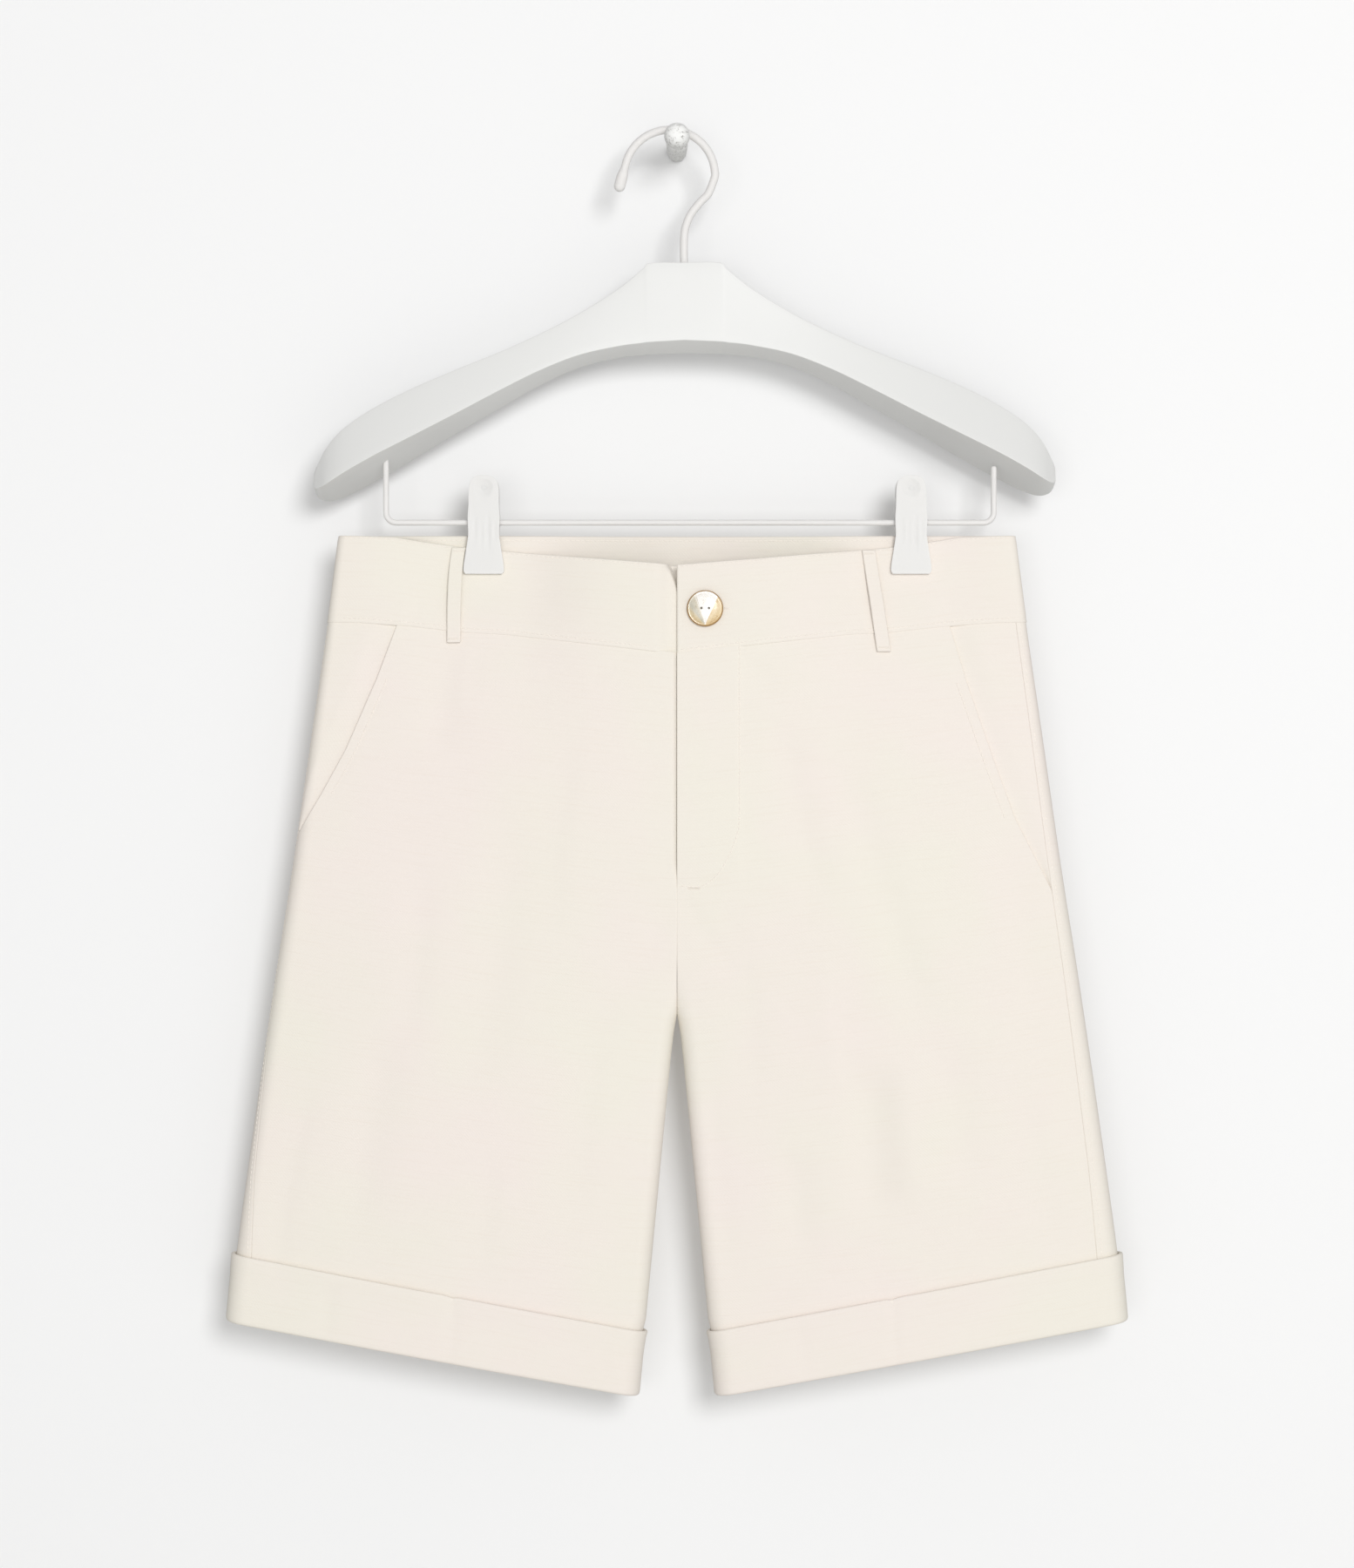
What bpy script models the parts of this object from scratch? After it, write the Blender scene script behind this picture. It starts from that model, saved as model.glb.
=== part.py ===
"""Bermuda shorts with turned-up hems, clipped by the waistband to a hanger that hangs on a wall peg.

Metres, +Z up. The front faces -Y and +X is to the right as seen from the front, which is also what
left and right mean in the names. The origin is the middle of the peg's flat end, against the wall.
Lengths below are in millimetres and become metres where a mesh is made.
"""

import math
from collections import namedtuple

import bmesh
import bpy
from mathutils import Matrix, Vector

MM = 0.001

# Cloth thicknesses and the clearance that neighbouring pieces keep.
GAP = 0.3
SEAM_HALF = GAP / 2
PANEL_WALL = 1.2
BAND_WALL = 2.2
BAND_PROUD = 0.6
CUFF_WALL = 1.8
CUFF_CLEAR = 0.45
LOOP_WALL = 1.5

# The garment hangs in the plane of the hanger. FRONT and BACK give the way a face looks along Y.
HANG_Y = -42.0
FRONT, BACK = -1, 1

# Heights of the garment: each row is one level of both legs, from the waistband down. The swells are
# how far the front and back stand out beyond the side fold's radius.
Level = namedtuple("Level", "outer_z centre_z outer_x fold front_swell back_swell")
LEVELS = (
    Level(-231.7, -231.7, 197.7, 4.3, 9.2, 2.6),
    Level(-282.9, -282.9, 204.3, 5.2, 9.5, 4.5),
    Level(-350.0, -351.5, 214.0, 7.0, 8.0, 7.0),
    Level(-425.0, -432.0, 224.8, 8.4, 6.5, 7.5),
    Level(-495.0, -512.7, 235.7, 9.0, 4.5, 5.0),
    Level(-577.0, -606.0, 247.6, 9.2, 3.4, 3.2),
    Level(-651.2, -696.2, 257.8, 9.4, 2.6, 2.6),
    Level(-690.8, -734.4, 261.9, 9.5, 2.5, 2.5),
)
WAIST_TOP, WAIST_SEAM, POCKET_FOOT, CROTCH, CUFF_TOP, HEM = 0, 1, 3, 4, 6, 7
CUFF_HEIGHT = LEVELS[CUFF_TOP].centre_z - LEVELS[HEM].centre_z
# Just clear of the waistband seam, as levels.
BAND_FOOT, PANEL_TOP = WAIST_SEAM - 0.003, WAIST_SEAM + 0.0025

# How much lower than the back the front is cut, across half of the waist.
FrontDrop = namedtuple("FrontDrop", "x top seam")
FRONT_DROPS = (
    FrontDrop(0, 17.6, 18.9),
    FrontDrop(50, 13.6, 12.9),
    FrontDrop(100, 9.1, 7.2),
    FrontDrop(125, 6.9, 5.8),
    FrontDrop(150, 3.4, 3.0),
    FrontDrop(165, 1.0, 1.6),
    FrontDrop(185, 0.3, 0.3),
    FrontDrop(200, 0, 0),
)
FRONT_DROP_FADES_OVER = 150.0

# The seat seam curves in from the front and the back over this height and meets at the crotch. Below
# it the legs part, quickly at first and then on a straight slope, and tuck in where a cuff covers them.
SEAT_CURVE_HEIGHT = 35.0
INSEAM_SLOPE = 0.095
INSEAM_START, INSEAM_ROUND = 1.3, 8.0
CUFF_TUCK_ABOVE, CUFF_TUCK_OVER = 8.0, 14.0
# The section changes from one hollow to two legs, each swelling in its own middle, over this height.
LEG_FORM_FROM, LEG_FORM_OVER = -400.0, 160.0
# Share of a half's turn that the inner and side folds take, and what a side seam keeps of it.
FOLD_SHARE = 0.07
EDGE_SHARE = 0.02

# The clips hold the front and back bands together; away from them the waist stands open.
CLIP_X = {-1: -112.9, 1: 136.8}
HELD_TO_Z = -265.0
HELD_HALF = 1.75
HELD_WIDTH = 20.0
PINCH_SPREAD = 34.0
PINCH_FALL = 45.0

# Largest soft folds of the front and back: a trough has a negative height. Each fades out over
# FOLD_FADE of its length at the ends and runs on a little past them.
FOLD_FADE, FOLD_REACH = 0.35, 0.3
Fold = namedtuple("Fold", "face x0 z0 x1 z1 width height")
FOLDS = (
    Fold(FRONT, 110, -540, 114, -630, 13, -2.6),
    Fold(FRONT, 133, -535, 140, -625, 12, 2.0),
    Fold(FRONT, 157, -528, 166, -612, 15, -2.4),
    Fold(FRONT, 66, -590, 72, -655, 11, -1.8),
    Fold(FRONT, 58, -340, 82, -445, 11, -1.8),
    Fold(FRONT, 95, -362, 144, -520, 12, -2.0),
    Fold(FRONT, -129, -288, -140, -360, 12, -1.8),
    Fold(FRONT, -95, -400, -118, -560, 16, -1.6),
    Fold(FRONT, -170, -520, -190, -640, 14, -1.8),
    Fold(BACK, -70, -330, -60, -440, 14, -2.0),
    Fold(BACK, 80, -330, 66, -450, 14, -2.0),
    Fold(BACK, -150, -540, -165, -640, 15, -2.2),
    Fold(BACK, 120, -540, 130, -650, 15, -2.2),
)

# Slant pocket mouths, from the waistband seam down to the side seam, on each side.
PocketPoint = namedtuple("PocketPoint", "z x")
POCKETS = {
    -1: (
        PocketPoint(-280, 162),
        PocketPoint(-315, 175),
        PocketPoint(-357, 193.3),
        PocketPoint(-383, 207.6),
        PocketPoint(-408.6, 223),
    ),
    1: (
        PocketPoint(-280, 158),
        PocketPoint(-317, 168.8),
        PocketPoint(-363, 184.6),
        PocketPoint(-397, 197),
        PocketPoint(-440, 219),
    ),
}
# The facing runs on behind the front, ends below and inside the mouth's foot, and comes up level with
# the front past the mouth but for the last stretch above its foot.
FACING_UNDERLAP = 22.0
FACING_DEPTH = PANEL_WALL + 0.8
FACING_BELOW, FACING_INSIDE = 12.0, 20.0
FACING_RISE_PAST, FACING_RISE_OVER = 4.0, 12.0
FACING_FLAT_ABOVE, FACING_FLAT_OVER = 12.0, 25.0

# Distance of the side seam in front of the side fold, on each side, at the given height.
SeamPlace = namedtuple("SeamPlace", "z ahead")
SIDE_SEAMS = {
    -1: (SeamPlace(-282, 0.5), SeamPlace(-520, 1.0), SeamPlace(-606, 5.0), SeamPlace(-700, 15.0)),
    1: (SeamPlace(-282, 6.4), SeamPlace(-440, 8.4), SeamPlace(-600, 11.0), SeamPlace(-700, 15.0)),
}

# Fly: the right front laps over the left one, with a plain underlap behind. The left band dips behind
# the right one just before the middle.
FLY_PROUD = 0.9
FLY_WIDTH = 40.0
FLY_SIDE_OVER, FLY_FOOT_OVER = 6.0, 20.0
FLY_BOTTOM_Z = -440.0
UNDERLAP_LEFT, UNDERLAP_RIGHT = 10.0, 31.0
UNDERLAP_FOOT = 8.0
BAND_TUCK = BAND_WALL + 0.6
BAND_TUCK_FROM_X, BAND_TUCK_OVER = -13.0, 10.0

# Belt loops: where the top and bottom of each strip lie, how far it reaches below the seam, and the
# power by which its slant is spent near the top (1 is a straight strip).
LOOP_WIDTH = 8.0
LOOP_BOW = 1.6
LoopPlace = namedtuple("LoopPlace", "name face top_x bottom_x below_seam slant_power")
BELT_LOOPS = (
    LoopPlace("front_left", FRONT, -127.4, -130.2, 6.5, 4),
    LoopPlace("front_right", FRONT, 111.8, 120.6, 11.0, 1),
    LoopPlace("back_left", BACK, -84.0, -84.0, 8.0, 1),
    LoopPlace("back_centre", BACK, 0.0, 0.0, 8.0, 1),
    LoopPlace("back_right", BACK, 84.0, 84.0, 8.0, 1),
)

# Button: its rings from the underside to the top of the dome, and its two thread holes.
BUTTON_X, BUTTON_Z = 16.3, -275.0
ButtonRing = namedtuple("ButtonRing", "radius height")
BUTTON_RINGS = (
    ButtonRing(7.5, 0.0),
    ButtonRing(9.8, 0.5),
    ButtonRing(10.5, 1.5),
    ButtonRing(10.2, 2.3),
    ButtonRing(9.3, 2.9),
    ButtonRing(7.4, 3.3),
    ButtonRing(4.0, 3.6),
    ButtonRing(1.5, 3.7),
)
BUTTON_HOLE, BUTTON_HOLE_FROM_MIDDLE = 0.9, 2.2

# Turned-up hem: its section from the top edge down the outside, round the fold at the bottom, where it
# closes in under the leg's edge, and up the inside. Off is counted from the leg's outer face.
LIP_HEIGHT = 1.6
CUFF_OUT = CUFF_CLEAR + CUFF_WALL
CuffPoint = namedtuple("CuffPoint", "height off")
CUFF_SECTION = (
    CuffPoint(CUFF_HEIGHT, CUFF_OUT - 0.6),
    CuffPoint(CUFF_HEIGHT - 0.5, CUFF_OUT),
    CuffPoint(27.0, CUFF_OUT),
    CuffPoint(14.0, CUFF_OUT),
    CuffPoint(LIP_HEIGHT, CUFF_OUT),
    CuffPoint(0.5, CUFF_OUT - 0.2),
    CuffPoint(0.0, CUFF_OUT - 0.8),
    CuffPoint(0.0, 0.5 - PANEL_WALL),
    CuffPoint(0.5, -PANEL_WALL),
    CuffPoint(LIP_HEIGHT, -PANEL_WALL),
    CuffPoint(LIP_HEIGHT, CUFF_CLEAR),
    CuffPoint(14.0, CUFF_CLEAR),
    CuffPoint(27.0, CUFF_CLEAR),
    CuffPoint(CUFF_HEIGHT, CUFF_CLEAR),
)

# How finely the cloth is divided, and the rows added where it bends: above the pocket's foot, by the
# angle round the seat curve, and below the crotch.
FRONT_FLAT_COLUMNS, BACK_FLAT_COLUMNS, FOLD_COLUMNS = 13, 12, 3
BAND_ROWS, BAND_FLAT_COLUMNS, BAND_SIDE_COLUMNS, BAND_UNDER_COLUMNS = 5, 20, 4, 5
FACING_COLUMNS = 14
UNDERLAP_ROWS, UNDERLAP_COLUMNS = 8, 5
LOOP_ROWS, LOOP_COLUMNS = 11, 3
ABOVE_POCKET_FOOT = (26.0, 16.0, 8.0, 0.5)
SEAT_CURVE_ANGLES = (28, 52, 72)
BELOW_CROTCH = (5.0, 14.0, 32.0, 60.0, 92.0, 126.0, 158.0)
ABOVE_HEM = (20.0, LIP_HEIGHT + GAP)

# Hanger body: stations from the middle to the tip. The front and back lower edges differ, because the
# underside slopes down to the back.
Station = namedtuple("Station", "x top front_low back_low top_half front_half back_half")
STATIONS = (
    Station(0, -72.5, -118.0, -124.0, 6.0, 8.0, 8.0),
    Station(20, -72.6, -119.0, -124.5, 6.0, 8.0, 8.0),
    Station(25, -76.6, -119.6, -125.0, 6.0, 8.0, 8.0),
    Station(39, -87.8, -121.4, -126.4, 6.0, 8.2, 8.2),
    Station(62, -102.1, -126.5, -132.0, 6.0, 8.8, 8.8),
    Station(85, -113.8, -135.5, -142.1, 6.2, 10.0, 10.0),
    Station(108, -124.0, -147.0, -154.8, 6.6, 12.0, 12.0),
    Station(135, -134.8, -161.4, -169.8, 7.2, 15.0, 15.0),
    Station(160, -145.5, -174.4, -184.3, 7.8, 18.0, 18.0),
    Station(182, -156.7, -185.7, -196.5, 8.2, 19.5, 20.0),
    Station(198, -167.4, -194.6, -204.8, 8.0, 18.5, 19.5),
    Station(208, -177.6, -200.6, -208.6, 6.5, 15.5, 16.0),
    Station(214, -188.5, -202.5, -207.6, 4.0, 9.5, 10.0),
)
HANGER_X = 4.4
HANGER_TILT = math.radians(0.45)
EDGE_RADIUS = 3.2
TIP_SHARE, TIP_OUT, TIP_DROP = 0.55, 2.6, 1.0

# Hook: a round arc that rests on the peg, an S bend through the places below and a straight neck.
HOOK_WIRE = 2.2
HOOK_ARC_RADIUS = 26.5
HOOK_ARC_X, HOOK_ARC_Z = -4.3, -20.5
HOOK_ARC_START, HOOK_ARC_END, HOOK_ARC_STEP = -2, 166, 12
Place = namedtuple("Place", "x z")
HOOK_TIP = Place(-33.6, -27.0)
HOOK_BEND = (
    Place(4.0, -66.0),
    Place(4.1, -58.0),
    Place(5.0, -51.0),
    Place(8.0, -43.6),
    Place(13.2, -36.8),
    Place(18.4, -31.2),
)
HOOK_SOCKET_DEPTH = 12.0

BAR_WIRE = 1.7
BAR_Z = -224.0
BAR_LEFT_X, BAR_RIGHT_X = -170.3, 185.4
BAR_BEND = 6.0
BAR_SOCKET_DEPTH = 7.0

# Clip jaws: half widths down the jaw, the bottom one lying on the waistband.
JawRow = namedtuple("JawRow", "z half")
JAW_ROWS = (
    JawRow(-196.6, 3.0),
    JawRow(-197.6, 5.6),
    JawRow(-200.2, 7.8),
    JawRow(-204.0, 8.6),
    JawRow(-214.0, 8.9),
    JawRow(-224.0, 9.4),
    JawRow(-231.0, 9.0),
    JawRow(-243.0, 10.4),
    JawRow(-251.0, 11.7),
    JawRow(-253.4, 11.4),
    JawRow(-254.2, 10.0),
)
JAW_INNER = HELD_HALF + BAND_PROUD + GAP
JAW_WALL, JAW_EDGE = 3.0, 1.2
# Rivet through both jaws, with domed heads and a block between the jaws that sits on the bar.
RIVET_Z = -204.0
RIVET_RADIUS = 1.8
RIVET_HEAD, RIVET_SHOULDER, RIVET_CROWN = 4.0, 3.2, 1.2
SHOULDER_RISE, CROWN_RISE = 1.2, 1.6
BLOCK_HALF, BLOCK_ABOVE = 5.0, 3.5

# Peg: a slim stem from the wall and a round head; the hook rests on the stem behind the head.
PEG_STEM = 3.0
PegRing = namedtuple("PegRing", "y radius")
PEG_RINGS = (
    PegRing(0, 4.4),
    PegRing(-2, 4.4),
    PegRing(-30, 3.7),
    PegRing(-37, PEG_STEM),
    PegRing(-46, PEG_STEM),
    PegRing(-49, 4.2),
    PegRing(-51.5, 6.4),
    PegRing(-55, 7.4),
    PegRing(-59, 7.2),
    PegRing(-62.2, 5.4),
    PegRing(-64, 2.4),
)

Finish = namedtuple("Finish", "colour roughness metallic")
COTTON = Finish((0.89, 0.82, 0.74), 0.85, 0.0)
HANGER_PLASTIC = Finish((0.84, 0.84, 0.84), 0.45, 0.0)
COATED_STEEL = Finish((0.86, 0.86, 0.85), 0.35, 0.0)
CLIP_PLASTIC = Finish((0.87, 0.87, 0.86), 0.3, 0.0)
PEARL = Finish((0.72, 0.6, 0.4), 0.25, 0.3)
PAINTED_WOOD = Finish((0.82, 0.82, 0.8), 0.6, 0.0)


# ---------------------------------------------------------------------------------------- helpers


def clear_scene():
    for obj in list(bpy.data.objects):
        bpy.data.objects.remove(obj, do_unlink=True)


def finish_of(name, finish):
    material = bpy.data.materials.new(name + "_finish")
    material.use_nodes = True
    shader = material.node_tree.nodes["Principled BSDF"]
    shader.inputs["Base Color"].default_value = (*finish.colour, 1.0)
    shader.inputs["Roughness"].default_value = finish.roughness
    shader.inputs["Metallic"].default_value = finish.metallic
    return material


def make_object(name, points, faces, finish):
    """A closed solid from points in millimetres, with its faces turned outwards."""
    mesh = bpy.data.meshes.new(name)
    mesh.from_pydata([Vector(p) * MM for p in points], [], faces)
    shell = bmesh.new()
    shell.from_mesh(mesh)
    bmesh.ops.recalc_face_normals(shell, faces=shell.faces)
    shell.to_mesh(mesh)
    shell.free()
    mesh.shade_smooth()
    mesh.set_sharp_from_angle(angle=math.radians(40))
    obj = bpy.data.objects.new(name, mesh)
    obj.data.materials.append(finish_of(name, finish))
    bpy.context.collection.objects.link(obj)
    return obj


def between(rows, key, value, wanted):
    """Reads one column of a table at a value of another, with straight lines between the rows."""
    ordered = sorted(rows, key=lambda row: getattr(row, key))
    if value <= getattr(ordered[0], key):
        return getattr(ordered[0], wanted)
    for low, high in zip(ordered, ordered[1:]):
        start, end = getattr(low, key), getattr(high, key)
        if value <= end:
            share = (value - start) / (end - start)
            return getattr(low, wanted) * (1 - share) + getattr(high, wanted) * share
    return getattr(ordered[-1], wanted)


def smooth(share):
    share = min(max(share, 0.0), 1.0)
    return share * share * (3 - 2 * share)


def spread(start, end, count):
    return [start + (end - start) * i / (count - 1) for i in range(count)]


# ------------------------------------------------------------------------------- form of the cloth


def row_at(level):
    """The garment's sizes at a level between the rows of LEVELS, on a smooth curve through them."""
    index = min(int(level), len(LEVELS) - 2)
    t = level - index
    before = LEVELS[max(index - 1, 0)]
    after = LEVELS[min(index + 2, len(LEVELS) - 1)]
    values = []
    for a, b, c, d in zip(before, LEVELS[index], LEVELS[index + 1], after):
        values.append(
            b + 0.5 * t * (c - a + t * (2 * a - 5 * b + 4 * c - d + t * (3 * (b - c) + d - a)))
        )
    return Level(*values)


def inseam_x(centre_z):
    """Distance of the leg's inner edge from the middle of the garment."""
    below = max(LEVELS[CROTCH].centre_z - centre_z, 0.0)
    covered = smooth((LEVELS[CUFF_TOP].centre_z + CUFF_TUCK_ABOVE - centre_z) / CUFF_TUCK_OVER)
    start = INSEAM_START * (1 - math.exp(-below / INSEAM_ROUND))
    return SEAM_HALF + INSEAM_SLOPE * below + start + CUFF_WALL * covered


def seat_closing(centre_z):
    """0 where the front and back are apart at the centre seam, 1 where they meet under the crotch."""
    start = LEVELS[CROTCH].centre_z + SEAT_CURVE_HEIGHT
    share = min(max((start - centre_z) / SEAT_CURVE_HEIGHT, 0.0), 1.0)
    return 1 - math.sqrt(1 - share * share)


def fold_height(face, x, z):
    total = 0.0
    for fold in FOLDS:
        if fold.face != face:
            continue
        run_x, run_z = fold.x1 - fold.x0, fold.z1 - fold.z0
        along = ((x - fold.x0) * run_x + (z - fold.z0) * run_z) / (run_x**2 + run_z**2)
        across = abs((x - fold.x0) * run_z - (z - fold.z0) * run_x) / math.hypot(run_x, run_z)
        ends = smooth(along / FOLD_FADE + FOLD_REACH) * smooth((1 - along) / FOLD_FADE + FOLD_REACH)
        total += fold.height * ends * math.exp(-((across / fold.width) ** 2))
    return total


def across_at(turn, row, inner_x):
    """Distance from the middle of the garment, with how far the side and inner folds have rounded."""
    share = turn if turn <= 1 else 2 - turn
    width = row.outer_x - inner_x
    if share > 1 - FOLD_SHARE:
        angle = (1 - share) / FOLD_SHARE * math.pi / 2
        return row.outer_x - row.fold * (1 - math.cos(angle)), math.sin(angle), 1.0
    if share < FOLD_SHARE:
        angle = share / FOLD_SHARE * math.pi / 2
        return inner_x + row.fold * (1 - math.cos(angle)), 1.0, math.sin(angle)
    flat = (share - FOLD_SHARE) / (1 - 2 * FOLD_SHARE)
    return inner_x + row.fold + flat * (width - 2 * row.fold), 1.0, 1.0


def cloth_point(side, turn, level):
    """A point of the cloth's outer face. Turn runs from 0 at the centre front (the inseam on a leg)
    over 1 at the side fold to 2 at the centre back; level runs down LEVELS."""
    row = row_at(level)
    inner_x = inseam_x(row.centre_z)
    across, side_round, inner_round = across_at(turn, row, inner_x)
    x = side * across
    face = FRONT if turn <= 1 else BACK
    place = (across - inner_x) / (row.outer_x - inner_x)
    z = row.outer_z + (row.centre_z - row.outer_z) * (1 - place)
    if face == FRONT:
        seam_drop = between(FRONT_DROPS, "x", across, "seam")
        if level < WAIST_SEAM:
            top_drop = between(FRONT_DROPS, "x", across, "top")
            z -= top_drop + (seam_drop - top_drop) * level
        else:
            below = LEVELS[WAIST_SEAM].outer_z - row.outer_z
            z -= seam_drop * (1 - smooth(below / FRONT_DROP_FADES_OVER))
    closing = seat_closing(row.centre_z)
    inner_round = 1 + (inner_round - 1) * closing
    leg = smooth((LEG_FORM_FROM - row.centre_z) / LEG_FORM_OVER)
    swell_shape = (1 - leg) * math.cos(math.pi / 2 * place) + leg * math.sin(math.pi * place)
    swell = (row.front_swell if face == FRONT else row.back_swell) * swell_shape
    swell += fold_height(face, x, z) * math.sin(math.pi * min(max(place, 0.0), 1.0)) ** 0.25
    rounding = side_round * inner_round
    near = math.exp(-((max(abs(x - CLIP_X[side]) - HELD_WIDTH, 0.0) / PINCH_SPREAD) ** 2))
    pinch = near * math.exp(-max(HELD_TO_Z - z, 0.0) / PINCH_FALL)
    depth = rounding * ((row.fold + swell) * (1 - pinch) + HELD_HALF * pinch)
    return Vector((x, HANG_Y + face * depth, z))


def cloth_normal(side, turn, level):
    step = 0.002
    before, after = turn - step, turn + step
    on_leg = row_at(level).centre_z <= LEVELS[CROTCH].centre_z
    if before < 0:
        before = before + 2 if on_leg else 0.0
    if after > 2:
        after = after - 2 if on_leg else 2.0
    up, down = max(level - 0.01, WAIST_TOP), min(level + 0.01, HEM)
    along = cloth_point(side, after, level) - cloth_point(side, before, level)
    downward = cloth_point(side, turn, down) - cloth_point(side, turn, up)
    normal = along.cross(downward).normalized()
    return -normal if side > 0 else normal


def lifted(side, turn, level, lift):
    return cloth_point(side, turn, level) + cloth_normal(side, turn, level) * lift


def turn_at(face, across, level):
    """The turn at which the cloth is this far from the middle of the garment."""
    row = row_at(level)
    inner_x = inseam_x(row.centre_z)
    low, high = 0.0, 1.0
    for _ in range(30):
        middle = (low + high) / 2
        if across_at(middle, row, inner_x)[0] < across:
            low = middle
        else:
            high = middle
    return low if face == FRONT else 2 - low


def level_at(side, face, across, z):
    """The level at which the cloth, this far from the middle, is at this height."""
    low, high = float(WAIST_TOP), float(HEM)
    for _ in range(30):
        middle = (low + high) / 2
        if cloth_point(side, turn_at(face, across, middle), middle).z > z:
            low = middle
        else:
            high = middle
    return low


def level_where(column, z):
    """The level at which a column of LEVELS, such as centre_z, has this height."""
    low, high = 0.0, float(HEM)
    for _ in range(30):
        middle = (low + high) / 2
        if getattr(row_at(middle), column) > z:
            low = middle
        else:
            high = middle
    return low


# --------------------------------------------------------------------------- solids made of cloth


def wall_between(name, outer, inner, finish):
    """One closed wall from two grids of points, joined all round their edges."""
    rows, columns = len(outer), len(outer[0])
    points = [p for row in outer for p in row] + [p for row in inner for p in row]
    below = rows * columns
    faces = []
    for r in range(rows - 1):
        for c in range(columns - 1):
            a = r * columns + c
            quad = (a, a + 1, a + columns + 1, a + columns)
            faces.append(quad)
            faces.append(tuple(below + i for i in reversed(quad)))
    rim = [c for c in range(columns)]
    rim += [r * columns + columns - 1 for r in range(1, rows)]
    rim += [(rows - 1) * columns + c for c in range(columns - 2, -1, -1)]
    rim += [r * columns for r in range(rows - 2, 0, -1)]
    for a, b in zip(rim, rim[1:] + rim[:1]):
        faces.append((b, a, below + a, below + b))
    return make_object(name, points, faces, finish)


def sewn_wall(name, columns_at, levels, lift, wall):
    """A cloth wall over the form: columns_at(level) lists its (side, turn) pairs, and lift is how far
    its outer face stands off the form, as a number or a function of side, turn and level."""
    lift_of = lift if callable(lift) else lambda side, turn, level: lift
    outer, inner = [], []
    for level in levels:
        columns = columns_at(level)
        outer.append([lifted(s, t, level, lift_of(s, t, level)) for s, t in columns])
        inner.append([lifted(s, t, level, lift_of(s, t, level) - wall) for s, t in columns])
    return wall_between(name, outer, inner, COTTON)


def side_seam_turn(side, level):
    row = row_at(level)
    ahead = between(SIDE_SEAMS[side], "z", row.outer_z, "ahead")
    return turn_at(FRONT, row.outer_x - ahead, level)


def pocket_turn(side, level):
    """Where the slant pocket mouth crosses this level, or None below it."""
    z = row_at(level).outer_z
    if z < POCKETS[side][-1].z:
        return None
    turn = 1.0
    for _ in range(8):
        across = between(POCKETS[side], "z", z, "x")
        turn = turn_at(FRONT, across, level)
        z = cloth_point(side, turn, level).z
    return turn


def seam_turns(side, level):
    """Half a seam gap, as a share of the turn, at the inseam and at the side seam."""
    row = row_at(level)
    at_inseam = FOLD_SHARE * (SEAM_HALF / row.fold) / (math.pi / 2)
    at_side = SEAM_HALF / row.outer_x
    return at_inseam, at_side


def clustered(start, end, inner_count, flat_count, side_count):
    """Turns from start to end, closer together where the cloth rounds at the inner and side folds."""
    bend = min(1 - FOLD_SHARE, end - EDGE_SHARE)
    turns = spread(start, FOLD_SHARE, inner_count)
    turns += spread(FOLD_SHARE, bend, flat_count)[1:]
    return turns + spread(bend, end, side_count)[1:]


def panel_levels(side):
    """Levels of the leg panels, closer at the foot of the pocket and where the seat seam curves in."""
    crotch_z = LEVELS[CROTCH].centre_z
    mouth_foot = POCKETS[side][-1].z
    seat_start = level_where("centre_z", crotch_z + SEAT_CURVE_HEIGHT)
    foot = [level_where("outer_z", mouth_foot + up) for up in ABOVE_POCKET_FOOT]
    hip = spread(PANEL_TOP, foot[0], 5)[:-1]
    seat = spread(level_where("outer_z", mouth_foot - 10), seat_start, 3)
    curve = []
    for angle in SEAT_CURVE_ANGLES:
        up = SEAT_CURVE_HEIGHT * (1 - math.sin(math.radians(angle)))
        curve.append(level_where("centre_z", crotch_z + up))
    leg = [level_where("centre_z", crotch_z - below) for below in BELOW_CROTCH]
    hem = [level_where("centre_z", LEVELS[HEM].centre_z + up) for up in ABOVE_HEM]
    return hip + foot + seat + curve + [float(CROTCH)] + leg + [float(CUFF_TOP)] + hem


def front_turns(side, level):
    at_inseam, at_side = seam_turns(side, level)
    end = side_seam_turn(side, level) - at_side
    pocket = pocket_turn(side, level)
    if pocket is not None:
        end = min(end, pocket)
    return clustered(at_inseam, end, FOLD_COLUMNS, FRONT_FLAT_COLUMNS, FOLD_COLUMNS + 1)


def back_turns(side, level):
    at_inseam, at_side = seam_turns(side, level)
    start = side_seam_turn(side, level) + at_side
    bend = spread(start, 1 + FOLD_SHARE, 2 * FOLD_COLUMNS)
    flat = spread(1 + FOLD_SHARE, 2 - FOLD_SHARE, BACK_FLAT_COLUMNS)
    return bend + flat[1:] + spread(2 - FOLD_SHARE, 2 - at_inseam, FOLD_COLUMNS)[1:]


def fly_lift(side, turn, level):
    """The right front stands proud where its fly laps over the left front."""
    point = cloth_point(side, turn, level)
    side_step = smooth((FLY_WIDTH - point.x) / FLY_SIDE_OVER)
    return FLY_PROUD * side_step * smooth((point.z - FLY_BOTTOM_Z) / FLY_FOOT_OVER)


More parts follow.
